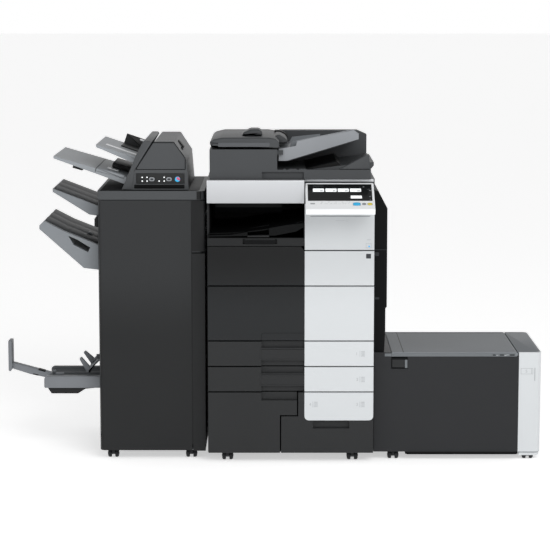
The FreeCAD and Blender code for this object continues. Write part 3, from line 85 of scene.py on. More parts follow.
def moulded_abs(name, colour, roughness=0.42, depth=0.12, tone=0.10, lift=0.0, low=0.0, high=1.0, gloss=0.22):
    """ABS with spark grain: fine noise drives bump and gloss, slow noise the tone.

    The tone also rises by lift from the level high down to the level low, in metres: painted light, a lighter
    band that stands in for how the light falls across the face.
    """
    material, tree, place = blank(name)
    grain = add(tree, "ShaderNodeTexNoise", inputs={
        "Vector": (place, "Object"), "Scale": 1000 / GRAIN_MM, "Detail": 2.0, "Roughness": 0.6})
    flow = add(tree, "ShaderNodeTexNoise", inputs={
        "Vector": (place, "Object"), "Scale": 1000 / FLOW_MM, "Detail": 3.0, "Roughness": 0.45})
    base = np.array(linear(colour))
    mix = add(tree, "ShaderNodeMix", {"data_type": "RGBA"}, {"Factor": (flow, "Fac")})
    mix.inputs[6].default_value = (*(base[:3] * (1 - tone)), 1)
    mix.inputs[7].default_value = (*np.minimum(base[:3] * (1 + tone), 1), 1)
    colour_out = (mix, 2)
    # Painted light: the tone is lifted by lift between the levels low and high.
    if lift:
        split = add(tree, "ShaderNodeSeparateXYZ", inputs={"Vector": (place, "Object")})
        fade = add(tree, "ShaderNodeMapRange", {"interpolation_type": "SMOOTHSTEP"}, {
            "Value": (split, "Z"), "From Min": low, "From Max": high, "To Min": 1.0, "To Max": 0.0})
        painted_light_tone = add(tree, "ShaderNodeMix", {"data_type": "RGBA", "blend_type": "MIX"},
                   {"Factor": (fade, "Result")})
        tree.links.new(mix.outputs[2], painted_light_tone.inputs[6])
        painted_light_tone.inputs[7].default_value = (*np.minimum(base[:3] * (1 + lift), 1), 1)
        colour_out = (painted_light_tone, 2)
    shine = add(tree, "ShaderNodeMapRange", inputs={
        "Value": (grain, "Fac"), "From Min": 0.3, "From Max": 0.7,
        "To Min": roughness - 0.05, "To Max": roughness + 0.07})
    bump = add(tree, "ShaderNodeBump", inputs={"Strength": depth, "Distance": 0.0004,
                                               "Height": (grain, "Fac")})
    shader = add(tree, "ShaderNodeBsdfPrincipled", inputs={
        "Base Color": colour_out, "Roughness": (shine, "Result"), "Normal": (bump, "Normal"),
        "IOR": 1.5, "Specular IOR Level": gloss})
    add(tree, "ShaderNodeOutputMaterial", inputs={"Surface": (shader, "BSDF")})
    return material


def paint(nodes, material):
    """Gives CAD nodes their finish."""
    for label in nodes.split():
        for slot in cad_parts[label].material_slots:
            slot.material = material


charcoal_abs = moulded_abs("charcoal_moulded_abs", "#191a1b")
# The front doors are drawn lighter from 0.80 m down to 0.55 m: painted light standing in for the light the
# lower doors catch.
door_abs = moulded_abs("front_door_abs", "#0c0d0e", lift=2.6, low=0.55, high=0.80)
tray_abs = moulded_abs("paper_drawer_abs", "#252627")
jet_abs = moulded_abs("jet_moulded_abs", "#090a0b", roughness=0.5, gloss=0.1)
paint("engine_covers exit_front_cover", charcoal_abs)
paint("toner_door front_door", door_abs)
paint("cassette_1 cassette_2 tandem_left tandem_right", tray_abs)
paint("exit_tray exit_unit scan_carriage power_inlet side_unit_lever", jet_abs)


# ---------------------------------------------------------------------------
# Grip surrounds: each drawer's finger recess has a raised lip of the same
# charcoal ABS, moulded with the drawer front and rounded at its corners.
# ---------------------------------------------------------------------------
GRIP_X = (201, 362)
LIP = 5
LIP_DEEP = 1.2


def rounded_outline(corners, radii, steps=5):
    """A closed outline whose corners are arcs tangent to both sides.

    Each arc is its centre plus the two tangent-point arms, blended by their angle:
    (sin((1 - t) a) first + sin(t a) last) / sin a.
    """
    p = np.asarray(corners, float)
    radii = np.broadcast_to(np.asarray(radii, float), (len(p),))
    back = np.roll(p, 1, 0) - p
    ahead = np.roll(p, -1, 0) - p
    back /= np.linalg.norm(back, axis=1, keepdims=True)
    ahead /= np.linalg.norm(ahead, axis=1, keepdims=True)
    half = np.arccos(np.clip((back * ahead).sum(1), -1, 1)) / 2
    reach = (radii / np.tan(half))[:, None]
    middle = back + ahead
    middle /= np.linalg.norm(middle, axis=1, keepdims=True)
    centre = p + middle * (radii / np.sin(half))[:, None]
    first = p + back * reach - centre
    last = p + ahead * reach - centre
    sweep = (math.pi - 2 * half)[:, None, None]
    t = np.linspace(0, 1, steps)[None, :, None]
    arc = (np.sin((1 - t) * sweep) * first[:, None] + np.sin(t * sweep) * last[:, None]) / np.sin(sweep)
    return (centre[:, None] + arc).reshape(-1, 2)


def outward(outline):
    """Unit normals of a closed outline, from each point's neighbours."""
    run = np.roll(outline, -1, 0) - np.roll(outline, 1, 0)
    area = (outline[:, 0] * np.roll(outline[:, 1], -1) - np.roll(outline[:, 0], -1) * outline[:, 1]).sum()
    side = np.stack([run[:, 1], -run[:, 0]], 1) * np.sign(area)
    return side / np.linalg.norm(side, axis=1, keepdims=True)


AXES = {"X": (2, 0, 1), "Y": (0, 2, 1), "Z": (0, 1, 2)}


def ringed(rings):
    """Vertices and faces of a closed skin over equal rings, with a flat face on each end."""
    count, around = rings.shape[:2]
    i, k = np.meshgrid(np.arange(count - 1), np.arange(around), indexing="ij")
    nxt = (k + 1) % around
    quads = np.stack([i * around + k, i * around + nxt, (i + 1) * around + nxt, (i + 1) * around + k], -1)
    ends = [list(range(around)), list(range((count - 1) * around, count * around))]
    return rings.reshape(-1, 3), quads.reshape(-1, 4).tolist() + ends


def carried(outline, span, axis="Y", rim=1.0, steps=4):
    """An outline carried along an axis, each end drawn in along a quarter circle.

    point = outline - normal * rim * (1 - sin t), place = end +- rim * (1 - cos t).
    """
    outline = np.asarray(outline, float)
    t = np.linspace(0, math.pi / 2, steps)
    inset = np.concatenate([rim * (1 - np.sin(t)), rim * (1 - np.sin(t[::-1]))])
    place = np.concatenate([span[0] + rim * (1 - np.cos(t)), span[1] - rim * (1 - np.cos(t[::-1]))])
    flat = outline[None] - outward(outline)[None] * inset[:, None, None]
    rings = np.empty((len(place), len(outline), 3))
    a, b, c = (AXES[axis].index(n) for n in range(3))
    rings[..., a] = flat[..., 0]
    rings[..., b] = flat[..., 1]
    rings[..., c] = place[:, None]
    return ringed(rings)


def turned(profile, centre, axis="X", steps=32):
    """A profile of (radius, place) turned about an axis: (r cos t, r sin t, place)."""
    profile = np.asarray(profile, float)
    t = np.linspace(0, 2 * math.pi, steps, endpoint=False)
    a, b, c = (AXES[axis].index(n) for n in range(3))
    rings = np.empty((len(profile), steps, 3))
    rings[..., a] = profile[:, :1] * np.cos(t)
    rings[..., b] = profile[:, :1] * np.sin(t)
    rings[..., c] = profile[:, 1:]
    verts, faces = ringed(rings)
    return verts + np.asarray(centre, float), faces


def box_outline(a, b, radius=1.0, steps=4):
    """A rectangle between two pairs of limits, with round corners."""
    return rounded_outline([(a[0], b[0]), (a[1], b[0]), (a[1], b[1]), (a[0], b[1])], radius, steps)


def assemble(name, parts, material, body, replaced=(), smooth=40, lean=None):
    """One piece from closed skins in millimetres, riding on a body, in the finish it is given."""
    verts = np.concatenate([part[0] for part in parts])
    starts = np.cumsum([0] + [len(part[0]) for part in parts])
    faces = [[index + start for index in face] for part, start in zip(parts, starts) for face in part[1]]
    if lean is not None:
        verts = lean(verts)
    mesh = bpy.data.meshes.new(name)
    place = verts * MM + np.array([ENGINE_X, FACE_Y, 0])
    mesh.from_pydata(place.tolist(), [], faces)
    shape = bmesh.new()
    shape.from_mesh(mesh)
    bmesh.ops.recalc_face_normals(shape, faces=shape.faces)
    shape.to_mesh(mesh)
    shape.free()
    mesh.polygons.foreach_set("use_smooth", np.ones(len(mesh.polygons), bool))
    mesh.set_sharp_from_angle(angle=math.radians(smooth))
    mesh.materials.append(material)
    made = bpy.data.objects.new(name, mesh)
    bpy.context.scene.collection.objects.link(made)
    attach(made, body)
    if replaced:
        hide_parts(*replaced)
    return made


def lip(x, z):
    """A raised frame round a recess: three thin bars, above, below and at its left, that meet at the corners.
    """
    (x0, x1), (z0, z1) = x, z
    bars = [((x0 - LIP, x1), (z1, z1 + LIP)), ((x0 - LIP, x1), (z0 - LIP, z0)), ((x0 - LIP, x0), (z0, z1))]
    return [carried(box_outline(bx, bz, 0.8, 3), (-LIP_DEEP, 0.3), "Y", 0.5, 3) for bx, bz in bars]


# Each drawer's finger recess has a lip above it and below it, open to the right.
for drawer, level in (("cassette_1", 367.6), ("cassette_2", 271.0)):
    assemble(drawer + "_grip_lips", lip(GRIP_X, (level + 28, level + 66)), tray_abs, drawer)

# ---------------------------------------------------------------------------
# White plates: a column of glossy white ABS plates let into the fronts, with
# rounded edges.  Spark grain is finer on them and the gloss is higher.
# ---------------------------------------------------------------------------
# The plates are drawn lighter from 0.86 m down to 0.55 m: painted light, the darker upper plates standing in
# for the shade of the panel above them.
white_abs = moulded_abs("white_moulded_abs", "#b8bbbd", roughness=0.34, depth=0.08, tone=0.015, lift=0.2,
                        low=0.55, high=0.86, gloss=0.35)
paint("upper_front_plate toner_door_plate front_door_plate cassette_1_plate cassette_2_plate "
      "tandem_right_plate side_unit_end_cover panel_housing", white_abs)

# ---------------------------------------------------------------------------
# Grey covers: feeder, finisher, inserter and side unit are moulded from a
# grey ABS a little lighter than the fronts, with a satin gloss.
# ---------------------------------------------------------------------------
feeder_abs = moulded_abs("feeder_grey_abs", "#404244", roughness=0.42)
# The finisher door is drawn lighter from 0.45 m up to 0.75 m: painted light on its upper part.
finisher_abs = moulded_abs("finisher_grey_abs", "#1d1e1f", lift=0.9, low=0.75, high=0.45)
# The finisher's top covers are drawn much lighter above 0.98 m: a painted highlight along their top edge.
finisher_cover_abs = moulded_abs("finisher_cover_abs", "#191a1b", lift=5.0, low=0.992, high=0.98)
unit_abs = moulded_abs("paper_unit_grey_abs", "#242527")
lid_abs = moulded_abs("paper_unit_lid_abs", "#75797d", roughness=0.45)
stone_abs = moulded_abs("stone_grey_moulded_abs", "#777b7f", roughness=0.42)
paint("feeder_base feeder_body feeder_cover scanner_housing", feeder_abs)
paint("finisher_door", finisher_abs)
paint("finisher_covers", finisher_cover_abs)
paint("inserter_body", feeder_abs)
paint("side_unit_cabinet", unit_abs)
paint("side_unit_lid", lid_abs)
paint("right_side_unit", jet_abs)
paint("document_tray document_guide_front document_guide_rear inserter_upper_tray inserter_lower_tray "
      "upper_output_tray main_output_tray booklet_tray booklet_stop booklet_flaps", stone_abs)

# ---------------------------------------------------------------------------
# Zinc-plated sheet steel: the frames are folded and spot-welded from sheet
# whose plating grew in small crystals, so their gloss changes from patch to
# patch and the metal looks faintly cloudy.
# ---------------------------------------------------------------------------
SPANGLE_MM = 7


def plated_steel(name, colour, roughness):
    """Plated sheet: crystal cells drive roughness and a slight change of tone."""
    material, tree, place = blank(name)
    cells = add(tree, "ShaderNodeTexVoronoi", inputs={
        "Vector": (place, "Object"), "Scale": 1000 / SPANGLE_MM, "Randomness": 1.0})
    base = np.array(linear(colour))
    tone = add(tree, "ShaderNodeMix", {"data_type": "RGBA"}, {"Factor": (cells, "Color")})
    tone.inputs[6].default_value = (*(base[:3] * 0.9), 1)
    tone.inputs[7].default_value = (*base[:3], 1)
    gloss = add(tree, "ShaderNodeMapRange", inputs={
        "Value": (cells, "Distance"), "To Min": roughness - 0.06, "To Max": roughness + 0.08})
    shader = add(tree, "ShaderNodeBsdfPrincipled", inputs={
        "Base Color": (tone, 2), "Roughness": (gloss, "Result"), "Metallic": 1.0})
    add(tree, "ShaderNodeOutputMaterial", inputs={"Surface": (shader, "BSDF")})
    return material


zinc_sheet = plated_steel("zinc_plated_steel", "#9a9c9e", 0.38)
paint("caster_brackets levelling_feet side_unit_lift_plate", zinc_sheet)
coated_steel = moulded_abs("charcoal_coated_steel", "#3c3e41", roughness=0.5, depth=0.06)
paint("finisher_cabinet", coated_steel)

# ---------------------------------------------------------------------------
# Silver trim: the band under the scanner is sprayed with aluminium-flake lacquer.  It is drawn darker towards
# its lower edge: painted shade where the moulding turns under.
# ---------------------------------------------------------------------------
TRIM_Z = (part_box("scanner_front_trim")[0][2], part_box("scanner_front_trim")[1][2])


def flake_lacquer(name, colour):
    """Silver lacquer: fine cells as flakes, and painted shade that darkens it towards its lower edge."""
    material, tree, place = blank(name)
    flake = add(tree, "ShaderNodeTexVoronoi", inputs={"Vector": (place, "Object"), "Scale": 900.0})
    split = add(tree, "ShaderNodeSeparateXYZ", inputs={"Vector": (place, "Object")})
    # Painted shade: the tone falls to 0.78 of the colour at the trim's lower edge.
    painted_shade_ramp = add(tree, "ShaderNodeMapRange", inputs={
        "Value": (split, "Z"), "From Min": TRIM_Z[0], "From Max": TRIM_Z[1], "To Min": 0.0, "To Max": 1.0})
    base = np.array(linear(colour))
    tone = add(tree, "ShaderNodeMix", {"data_type": "RGBA"}, {"Factor": (painted_shade_ramp, "Result")})
    tone.inputs[6].default_value = (*(base[:3] * 0.78), 1)
    tone.inputs[7].default_value = (*base[:3], 1)
    gloss = add(tree, "ShaderNodeMapRange", inputs={"Value": (flake, "Distance"), "To Min": 0.28,
                                                    "To Max": 0.42})
    shader = add(tree, "ShaderNodeBsdfPrincipled", inputs={
        "Base Color": (tone, 2), "Roughness": (gloss, "Result"), "Metallic": 0.35})
    add(tree, "ShaderNodeOutputMaterial", inputs={"Surface": (shader, "BSDF")})
    return material


silver_lacquer = flake_lacquer("silver_flake_lacquer", "#c6c8cb")
paint("scanner_front_trim", silver_lacquer)

# ---------------------------------------------------------------------------
# Glass, rubber and coated rolls: float glass over the scanner, ground rubber
# on the rolls, a coated photoconductor drum and a blown toner bottle.
# ---------------------------------------------------------------------------
roll_rubber = moulded_abs("ground_roll_rubber", "#24262a", roughness=0.7, depth=0.4)
drum_coating = moulded_abs("photoconductor_coating", "#1f6a74", roughness=0.16, depth=0.02)
bottle_plastic = moulded_abs("blown_bottle_plastic", "#3c4046", roughness=0.35)
caster_nylon = moulded_abs("moulded_caster_nylon", "#1d1e20", roughness=0.45)
paint("feeder_roller heat_roller", roll_rubber)
paint("photo_drum", drum_coating)
paint("toner_bottle", bottle_plastic)
paint("caster_wheels", caster_nylon)


def polished_glass(name, tint, roughness, clear):
    """Polished glass: fine waviness from polishing moves the gloss a little."""
    material, tree, place = blank(name)
    wave = add(tree, "ShaderNodeTexNoise", inputs={"Vector": (place, "Object"), "Scale": 40.0})
    gloss = add(tree, "ShaderNodeMapRange", inputs={
        "Value": (wave, "Fac"), "To Min": roughness, "To Max": roughness + 0.05})
    shader = add(tree, "ShaderNodeBsdfPrincipled", inputs={
        "Base Color": linear(tint), "Roughness": (gloss, "Result"), "IOR": 1.5, "Transmission Weight": clear})
    add(tree, "ShaderNodeOutputMaterial", inputs={"Surface": (shader, "BSDF")})
    return material


paint("platen_glass", polished_glass("float_glass", "#e4efec", 0.02, 0.9))
screen_glass = polished_glass("display_glass", "#0b0c0e", 0.12, 0.0)
paint("panel_screen", screen_glass)
key_blue = moulded_abs("blue_key_resin", "#3fb7ea", roughness=0.25, depth=0.03)
key_grey = moulded_abs("grey_key_resin", "#8d9094", roughness=0.3, depth=0.03)
key_yellow = moulded_abs("yellow_key_resin", "#dfcc5a", roughness=0.3, depth=0.03)
paint("start_key inserter_start_key", key_blue)
paint("stop_key inserter_left_key inserter_right_key", key_grey)
paint("reset_key", key_yellow)

# ---------------------------------------------------------------------------
# Feeder cover: a thin-walled lid moulded from grey ABS with rolled edges, a
# shallow band let into its front and a hooded grip on top.  It is open below
# and clips on two posts at its left end.
# ---------------------------------------------------------------------------
COVER_Y = (20, 500)
COVER_WALL = 3
COVER_OUTLINE = rounded_outline([(17.5, 1184.6), (267.5, 1184.6), (267.5, 1203), (254, 1217), (226, 1221),
                                 (56, 1221), (24, 1213.5), (11.5, 1205), (11.5, 1198)],
                                (1, 1, 9, 12, 60, 60, 16, 4, 2), 6)


def hollow_under(piece, wall, level):
    """Opens a closed skin below a level and gives what is left a wall inwards."""
    shape = bmesh.new()
    shape.from_mesh(piece.data)
    under = [face for face in shape.faces
             if face.normal.z < -0.9 and face.calc_center_median().z < level * MM]
    bmesh.ops.delete(shape, geom=under, context="FACES")
    shape.to_mesh(piece.data)
    shape.free()
    thick = piece.modifiers.new("wall", "SOLIDIFY")
    thick.thickness = wall * MM
    thick.offset = -1
    return piece


def straight_foot(verts):
    """Brings the rolled ends of the lid straight down to its lower edge."""
    squared = verts.copy()
    squared[:, 2] = np.where((verts[:, 2] < 1192) & (verts[:, 0] > 19), 1184.6, verts[:, 2])
    return squared


lid = assemble("feeder_cover_shell", [carried(COVER_OUTLINE, COVER_Y, "Y", 7, 6)], feeder_abs, "feeder_cover",
               ["feeder_cover"], lean=straight_foot)
hollow_under(lid, COVER_WALL, 1188)
band = carried(rounded_outline([(42, 1187), (232, 1187), (232, 1202), (42, 1202)], 3), (19.2, 21), "Y", 0.5)
hood = carried(rounded_outline([(127, 1218), (206, 1218), (203, 1238), (190, 1245.5), (160, 1245.5),
                                (134, 1233)], (2, 2, 8, 10, 14, 10), 6), (110, 230), "Y", 9, 6)
feeder_band_abs = moulded_abs("feeder_band_abs", "#515356", roughness=0.38)
assemble("feeder_cover_band", [band], feeder_band_abs, "feeder_cover")
assemble("feeder_cover_hood", [hood], feeder_abs, "feeder_cover")
guide = rounded_outline([(256, 1190), (299, 1190), (298, 1200), (288, 1212), (270, 1221), (252, 1221)],
                        (1, 2, 8, 12, 10, 6), 6)
assemble("feed_guide_hood", [carried(guide, (150, 356), "Y", 4)], feeder_abs, "feeder_cover")
rim = rounded_outline([(250, 1219), (270, 1219), (288, 1210), (298, 1197), (301, 1199), (292, 1214),
                       (273, 1223.5), (250, 1224)], (1, 8, 8, 1, 1, 8, 10, 1), 4)
assemble("feed_guide_rim", [carried(rim, (356, 430), "Y", 2)], jet_abs, "feeder_cover")

# ---------------------------------------------------------------------------
# Feeder base: small locating ribs behind the front edge, and at the right a
# wedge that stops the copied sheets, all moulded in grey ABS.
# ---------------------------------------------------------------------------
ribs = [carried(box_outline((x0, x1), (1101, 1105.5), 1.5), (22, 34), "Y", 1)
        for x0, x1 in ((282, 292), (303, 332), (341, 368))]
assemble("feeder_base_ribs", ribs, feeder_abs, "feeder")
ramp = rounded_outline([(352, 1101), (480, 1131), (500, 1114), (512, 1101)], (2, 6, 8, 2))
stop = rounded_outline([(486, 1101), (592, 1157), (600, 1154), (604, 1101)], (2, 5, 3, 2))
assemble("sheet_ramp", [carried(ramp, (60, 436), "Y", 3)], jet_abs, "feeder")
assemble("sheet_stop_wedge", [carried(stop, (30, 120), "Y", 3)], feeder_abs, "feeder")

# ---------------------------------------------------------------------------
# Document tray: moulded in a light grey ABS, with a rolled top edge on its
# side wall, a joint where its tip is extended, and a mark rib on the joint.
# ---------------------------------------------------------------------------
tray_side_abs = moulded_abs("document_tray_grey_abs", "#8b8e92", roughness=0.4)
tray_floor_abs = moulded_abs("document_tray_floor_abs", "#2a2b2d", roughness=0.42)
paint("document_tray", tray_side_abs)


def drawn_back(verts):
    """Moves a side wall's face back towards the tip: y rises by 91 mm over 281 mm of x."""
    moved = verts.copy()
    moved[:, 1] += np.clip((verts[:, 0] - 286) / 281, 0, 1) * 91
    return moved


edge = rounded_outline([(332, 1202), (541, 1239.6), (565, 1223), (568, 1226), (544, 1243.5), (330, 1205.5)],
                       (1, 10, 1, 1, 10, 1), 5)
assemble("document_tray_edge", [carried(edge, (59.6, 67.6), "Y", 1.5)], tray_side_abs, "document_tray",
         lean=drawn_back)
joint = [carried(rounded_outline([(x, 1167 + rise), (x + 1.6, 1167 + rise), (x + 5.6, 1204 + rise),
                                  (x + 4, 1204 + rise)], 0.4, 3), (59.2, 60.6), "Y", 0.3)
         for x, rise in ((396, 10), (486, 29))]
assemble("document_tray_joints", joint, jet_abs, "document_tray", lean=drawn_back)
under = carried([(300, 1130), (565, 1201), (565, 1206), (345, 1147), (298, 1134)], (60, 320), "Y", 1)
assemble("document_tray_underside", [under], tray_floor_abs, "document_tray", lean=drawn_back)

# ---------------------------------------------------------------------------
# Exit bay: the copies land on a black moulded tray that rises to the right.
# A lip of grey ABS closes its front above the finger slot of the strip.
# ---------------------------------------------------------------------------


def swept_floor(x, y, z0, rise, bulge):
    """A tray floor: z = z0 + rise * s^2.2, plus a bulge sin(pi v) * s across its depth."""
    s, v = np.meshgrid(np.linspace(0, 1, 40), np.linspace(0, 1, 24), indexing="ij")
    top = np.stack([x[0] + (x[1] - x[0]) * s, y[0] + (y[1] - y[0]) * v,
                    z0 + rise * s ** 2.2 + bulge * np.sin(math.pi * v) * s], -1)
    low = top.copy()
    low[..., 2] -= 4
    rows, columns = s.shape
    i, k = np.meshgrid(np.arange(rows - 1), np.arange(columns - 1), indexing="ij")
    quads = np.stack([i * columns + k, (i + 1) * columns + k, (i + 1) * columns + k + 1,
                      i * columns + k + 1], -1)
    under = quads[..., ::-1] + rows * columns
    loop = np.concatenate([np.arange(columns), np.arange(1, rows) * columns + columns - 1,
                           (rows - 1) * columns + np.arange(columns - 1)[::-1],
                           np.arange(1, rows - 1)[::-1] * columns])
    nxt = np.roll(loop, -1)
    side = np.stack([loop, nxt, nxt + rows * columns, loop + rows * columns], -1)
    verts = np.concatenate([top.reshape(-1, 3), low.reshape(-1, 3)])
    return verts, np.concatenate([quads.reshape(-1, 4), under.reshape(-1, 4), side]).tolist()


assemble("exit_tray_floor", [swept_floor((10, 359), (32, 500), 866, 46, 3)], jet_abs, "machine")
front = rounded_outline([(6, 851), (359, 851), (359, 893), (330, 876), (253, 861), (6, 857)],
                        (1, 1, 2, 30, 40, 2))
assemble("exit_tray_lip", [carried(front, (4, 32), "Y", 1.5)], charcoal_abs, "machine")
slot = rounded_outline([(132, 848), (260, 848), (250, 827), (142, 827)], (1, 1, 7, 7), 6)
bezel = rounded_outline([(138, 846.5), (254, 846.5), (250, 843.5), (142, 843.5)], 1)
assemble("finger_slot_bezel", [carried(slot, (-0.4, 1.2), "Y", 0.3)], jet_abs, "machine")
assemble("finger_slot_edge", [carried(bezel, (-0.9, 1), "Y", 0.3)], charcoal_abs, "machine")

# ---------------------------------------------------------------------------
# Frame paint: the engine's welded frame is powder-coated black where it is
# seen in the open bays, with the coat's fine orange peel.
# ---------------------------------------------------------------------------
frame_paint = moulded_abs("black_powder_coat", "#141516", roughness=0.55, depth=0.25, gloss=0.2)
paint("engine_frame", frame_paint)

# ---------------------------------------------------------------------------
# Marks on the fronts: recessed lines are cut 0.4 mm deep and painted dark;
# drawer numbers and symbols are printed in grey ink on the white plates.
# ---------------------------------------------------------------------------
INK_RISE = 0.25
ink_grey = moulded_abs("grey_printing_ink", "#7d8083", roughness=0.5)
ink_dark = moulded_abs("dark_printing_ink", "#34363a", roughness=0.5)
ink_pale = moulded_abs("pale_printing_ink", "#a5a8ab", roughness=0.5)
ink_blue = moulded_abs("blue_printing_ink", "#38a3e0", roughness=0.4)


def printed(x, z, y=-2.0, corner=0.3):
    """A thin printed bar on a face at y."""
    return carried(box_outline(x, z, corner, 3), (y - INK_RISE, y + 0.3), "Y", 0.1, 2)


def digits(text, x, z, height, y=-2.0):
    """A number printed on a face at y, from the built-in typeface."""
    words = bpy.data.curves.new("digits", "FONT")
    words.body = text
    words.size = height * 1.4
    words.extrude = INK_RISE
    flat = bpy.data.objects.new("digits", words)
    bpy.context.scene.collection.objects.link(flat)
    bpy.context.view_layer.update()
    mesh = bpy.data.meshes.new_from_object(flat)
    verts = np.empty(len(mesh.vertices) * 3)
    mesh.vertices.foreach_get("co", verts)
    verts = verts.reshape(-1, 3)
    placed = np.stack([x + verts[:, 0] - verts[:, 0].min(), y - verts[:, 2], z + verts[:, 1]], 1)
    faces = [list(polygon.vertices) for polygon in mesh.polygons]
    bpy.data.objects.remove(flat)
    return placed, faces


def framed(x, z, y=-2.0, line=0.8):
    """A printed rectangle outline."""
    return [printed(x, (z[0], z[0] + line), y), printed(x, (z[1] - line, z[1]), y),
            printed((x[0], x[0] + line), z, y), printed((x[1] - line, x[1]), z, y)]


assemble("stylus_slot_line", [printed((382, 604), (930.5, 933.5), corner=1.4)], ink_grey, "machine")
small = [printed((x, x + 2.6), (915, 917.4)) for x in np.arange(477, 512, 4.6)]
small += framed((516, 523), (912.5, 919.5)) + [printed((590.5, 609), (846, 847)),
                                               printed((593, 606), (842.8, 845))]
assemble("upper_plate_marks", small, ink_pale, "machine")
assemble("upper_plate_symbol", framed((588.5, 609), (813.5, 831.5), line=1.6), ink_pale, "machine")
assemble("upper_plate_symbol_dot", [printed((597.5, 604), (816.5, 823), corner=3)], ink_blue, "machine")
assemble("toner_level_window", [printed((589.5, 607.5), (774.5, 792), corner=1.5)], ink_dark, "toner_door")
assemble("door_latch_outline",
         [printed((201, 202.2), (467, 488), 0.0), printed((209, 361), (493.6, 494.8), 0.0),
          carried(rounded_outline([(201, 486), (202.2, 486), (203.6, 490.4), (209, 493.6), (209, 494.8),
                                   (202.6, 491.6)], 0.3, 3), (-INK_RISE, 0.3), "Y", 0.1, 2)],
         jet_abs, "front_door")


def tag(label, x, z, body):
    """A drawer's printed tag: its number, a bar and a level scale."""
    parts = [digits(label, x, z, 11), printed((x + 12, x + 13), (z - 6, z + 16))]
    parts += framed((x + 17, x + 31), (z - 5, z + 15), line=0.9)
    parts += [printed((x + 19.5, x + 28.5), (z - 2.5 + 4.4 * step,
                                             z - 0.6 + 4.4 * step)) for step in range(4)]
    assemble(f"tag_{body}_{label}", parts, ink_pale, body)


tag("1", 556, 411, "cassette_1")
tag("2", 556, 314, "cassette_2")
tag("3", 556, 219, "tandem_right")
tag("4", 380, 219, "tandem_right")

# ---------------------------------------------------------------------------
# Operation panel: a black touch glass on a white tilted housing, with lit
# fields behind the glass and oval sprung keys below it.
# ---------------------------------------------------------------------------
TILT = math.radians(25.7)
PANEL_HINGE = (20, 1053)
# A brighter copy of the white ABS on the housing: painted light that lifts its tilted top, which catches less
# light, to the white of the plates.
panel_brightened_white_abs = moulded_abs("panel_painted_light_white_abs", "#f4f6f8", roughness=0.3, depth=0.05, tone=0.008, gloss=0.5)
paint("panel_housing", panel_brightened_white_abs)


def tilted(verts):
    """Leans a piece built flat about the panel's rear edge: a turn about x by the tilt."""
    turned_verts = verts.copy()
    turned_verts[:, 1] = PANEL_HINGE[0] + verts[:, 1] * math.cos(TILT) - verts[:, 2] * math.sin(TILT)
    turned_verts[:, 2] = PANEL_HINGE[1] + verts[:, 1] * math.sin(TILT) + verts[:, 2] * math.cos(TILT)
    return turned_verts


def lit(name, colour, strength):
    """A backlit field behind glass: printed film with a faint dot screen."""
    material, tree, place = blank(name)
    dots = add(tree, "ShaderNodeTexVoronoi", inputs={"Vector": (place, "Object"), "Scale": 800.0})
    tone = add(tree, "ShaderNodeMix", {"data_type": "RGBA"}, {"Factor": (dots, "Distance")})
    tone.inputs[6].default_value = linear(colour)
    tone.inputs[7].default_value = (*(np.array(linear(colour))[:3] * 0.92), 1)
    shader = add(tree, "ShaderNodeBsdfPrincipled", inputs={
        "Base Color": (tone, 2), "Emission Color": (tone, 2), "Emission Strength": strength,
                                                           "Roughness": 0.2})
    add(tree, "ShaderNodeOutputMaterial", inputs={"Surface": (shader, "BSDF")})
    return material


display_white = lit("display_field_white", "#f4f6f8", 0.55)
display_grey = lit("display_field_grey", "#75787c", 0.1)


def field(x, y, rise=0.3, base=0.0, corner=1.0, rim=0.15, steps=4):
    """A flat field on the panel between limits of x and local y."""
    return carried(box_outline(x, y, corner, steps), (base - 0.3, base + rise), "Z", rim, 3)


buttons = [field((x, x + 41), (-62, -39), corner=2.5) for x in (391.5, 437.5, 482.5, 527.5)]
buttons.append(field((529, 570), (-108.5, -89), corner=2.5))
assemble("display_buttons", buttons, display_white, "panel", lean=tilted)
legends = [field((x + 4 + 5 * i, x + 7 + 5 * i), (-52, -50), 0.4) for x in (391.5, 437.5, 482.5, 527.5)
           for i in range(4)]
legends += [field((x + 26, x + 37), (-57.5, -53), 0.4) for x in (391.5, 437.5, 482.5, 527.5)]
legends += [field((392, 432), (-22, -20.6)), field((575, 581), (-30, -24)), field((590, 602), (-44, -42.6)),
            field((598, 606), (-56, -50)), field((597, 602), (-98, -92)), field((598, 601), (-118, -115))]
assemble("display_marks", legends, display_grey, "panel", lean=tilted)
printed_marks = [field((x, x + 2.6), (-146, -144.2), 0.2) for x in
                 (416, 420, 433, 437, 441, 452, 456, 466, 470, 474, 484, 488, 498, 502, 508, 518)]
printed_marks += [field((380, 398), (-150, -141), 0.2, corner=4.2)]
printed_marks += [field((x, x + 6), (-135, -133), 0.2) for x in (420, 445, 470, 495, 520)]
assemble("panel_legends", printed_marks, ink_pale, "panel", lean=tilted)
for key, x, y, finish, slot_name in (("start_key", (536, 563), (-159, -138), key_blue, "key_blue"),
                                     ("stop_key", (570, 583), (-155, -142), key_grey, "key_grey"),
                                     ("reset_key", (589, 606), (-156, -141), key_yellow, "key_yellow")):
    cap = carried(box_outline(x, y, (y[1] - y[0]) / 2 - 0.2, 9), (-3, 1.5), "Z", 1.2, 5)
    assemble(key + "_cap", [cap], finish, key, [key], lean=tilted)
well = [carried(box_outline((x[0] - 1.4, x[1] + 1.4), (y[0] - 1.4, y[1] + 1.4), (y[1] - y[0]) / 2 + 1, 9),
                (-0.5, 0.25), "Z", 0.2, 3) for x, y in (((536, 563), (-159, -138)),
                                                        ((570, 583), (-155, -142)),
                                                       ((589, 606), (-156, -141)))]
assemble("panel_key_bezels", well, ink_pale, "panel", lean=tilted)

# ---------------------------------------------------------------------------
# Trim lip: the silver band goes on over the panel as a narrow lip.
# ---------------------------------------------------------------------------
lip_end = rounded_outline([(38, 1055.5), (49.5, 1055.5), (49.5, 1066), (38, 1066)], (3, 0.5, 0.5, 2))
assemble("scanner_trim_lip", [carried(lip_end, (361, 618), "X", 2)], silver_lacquer, "machine")
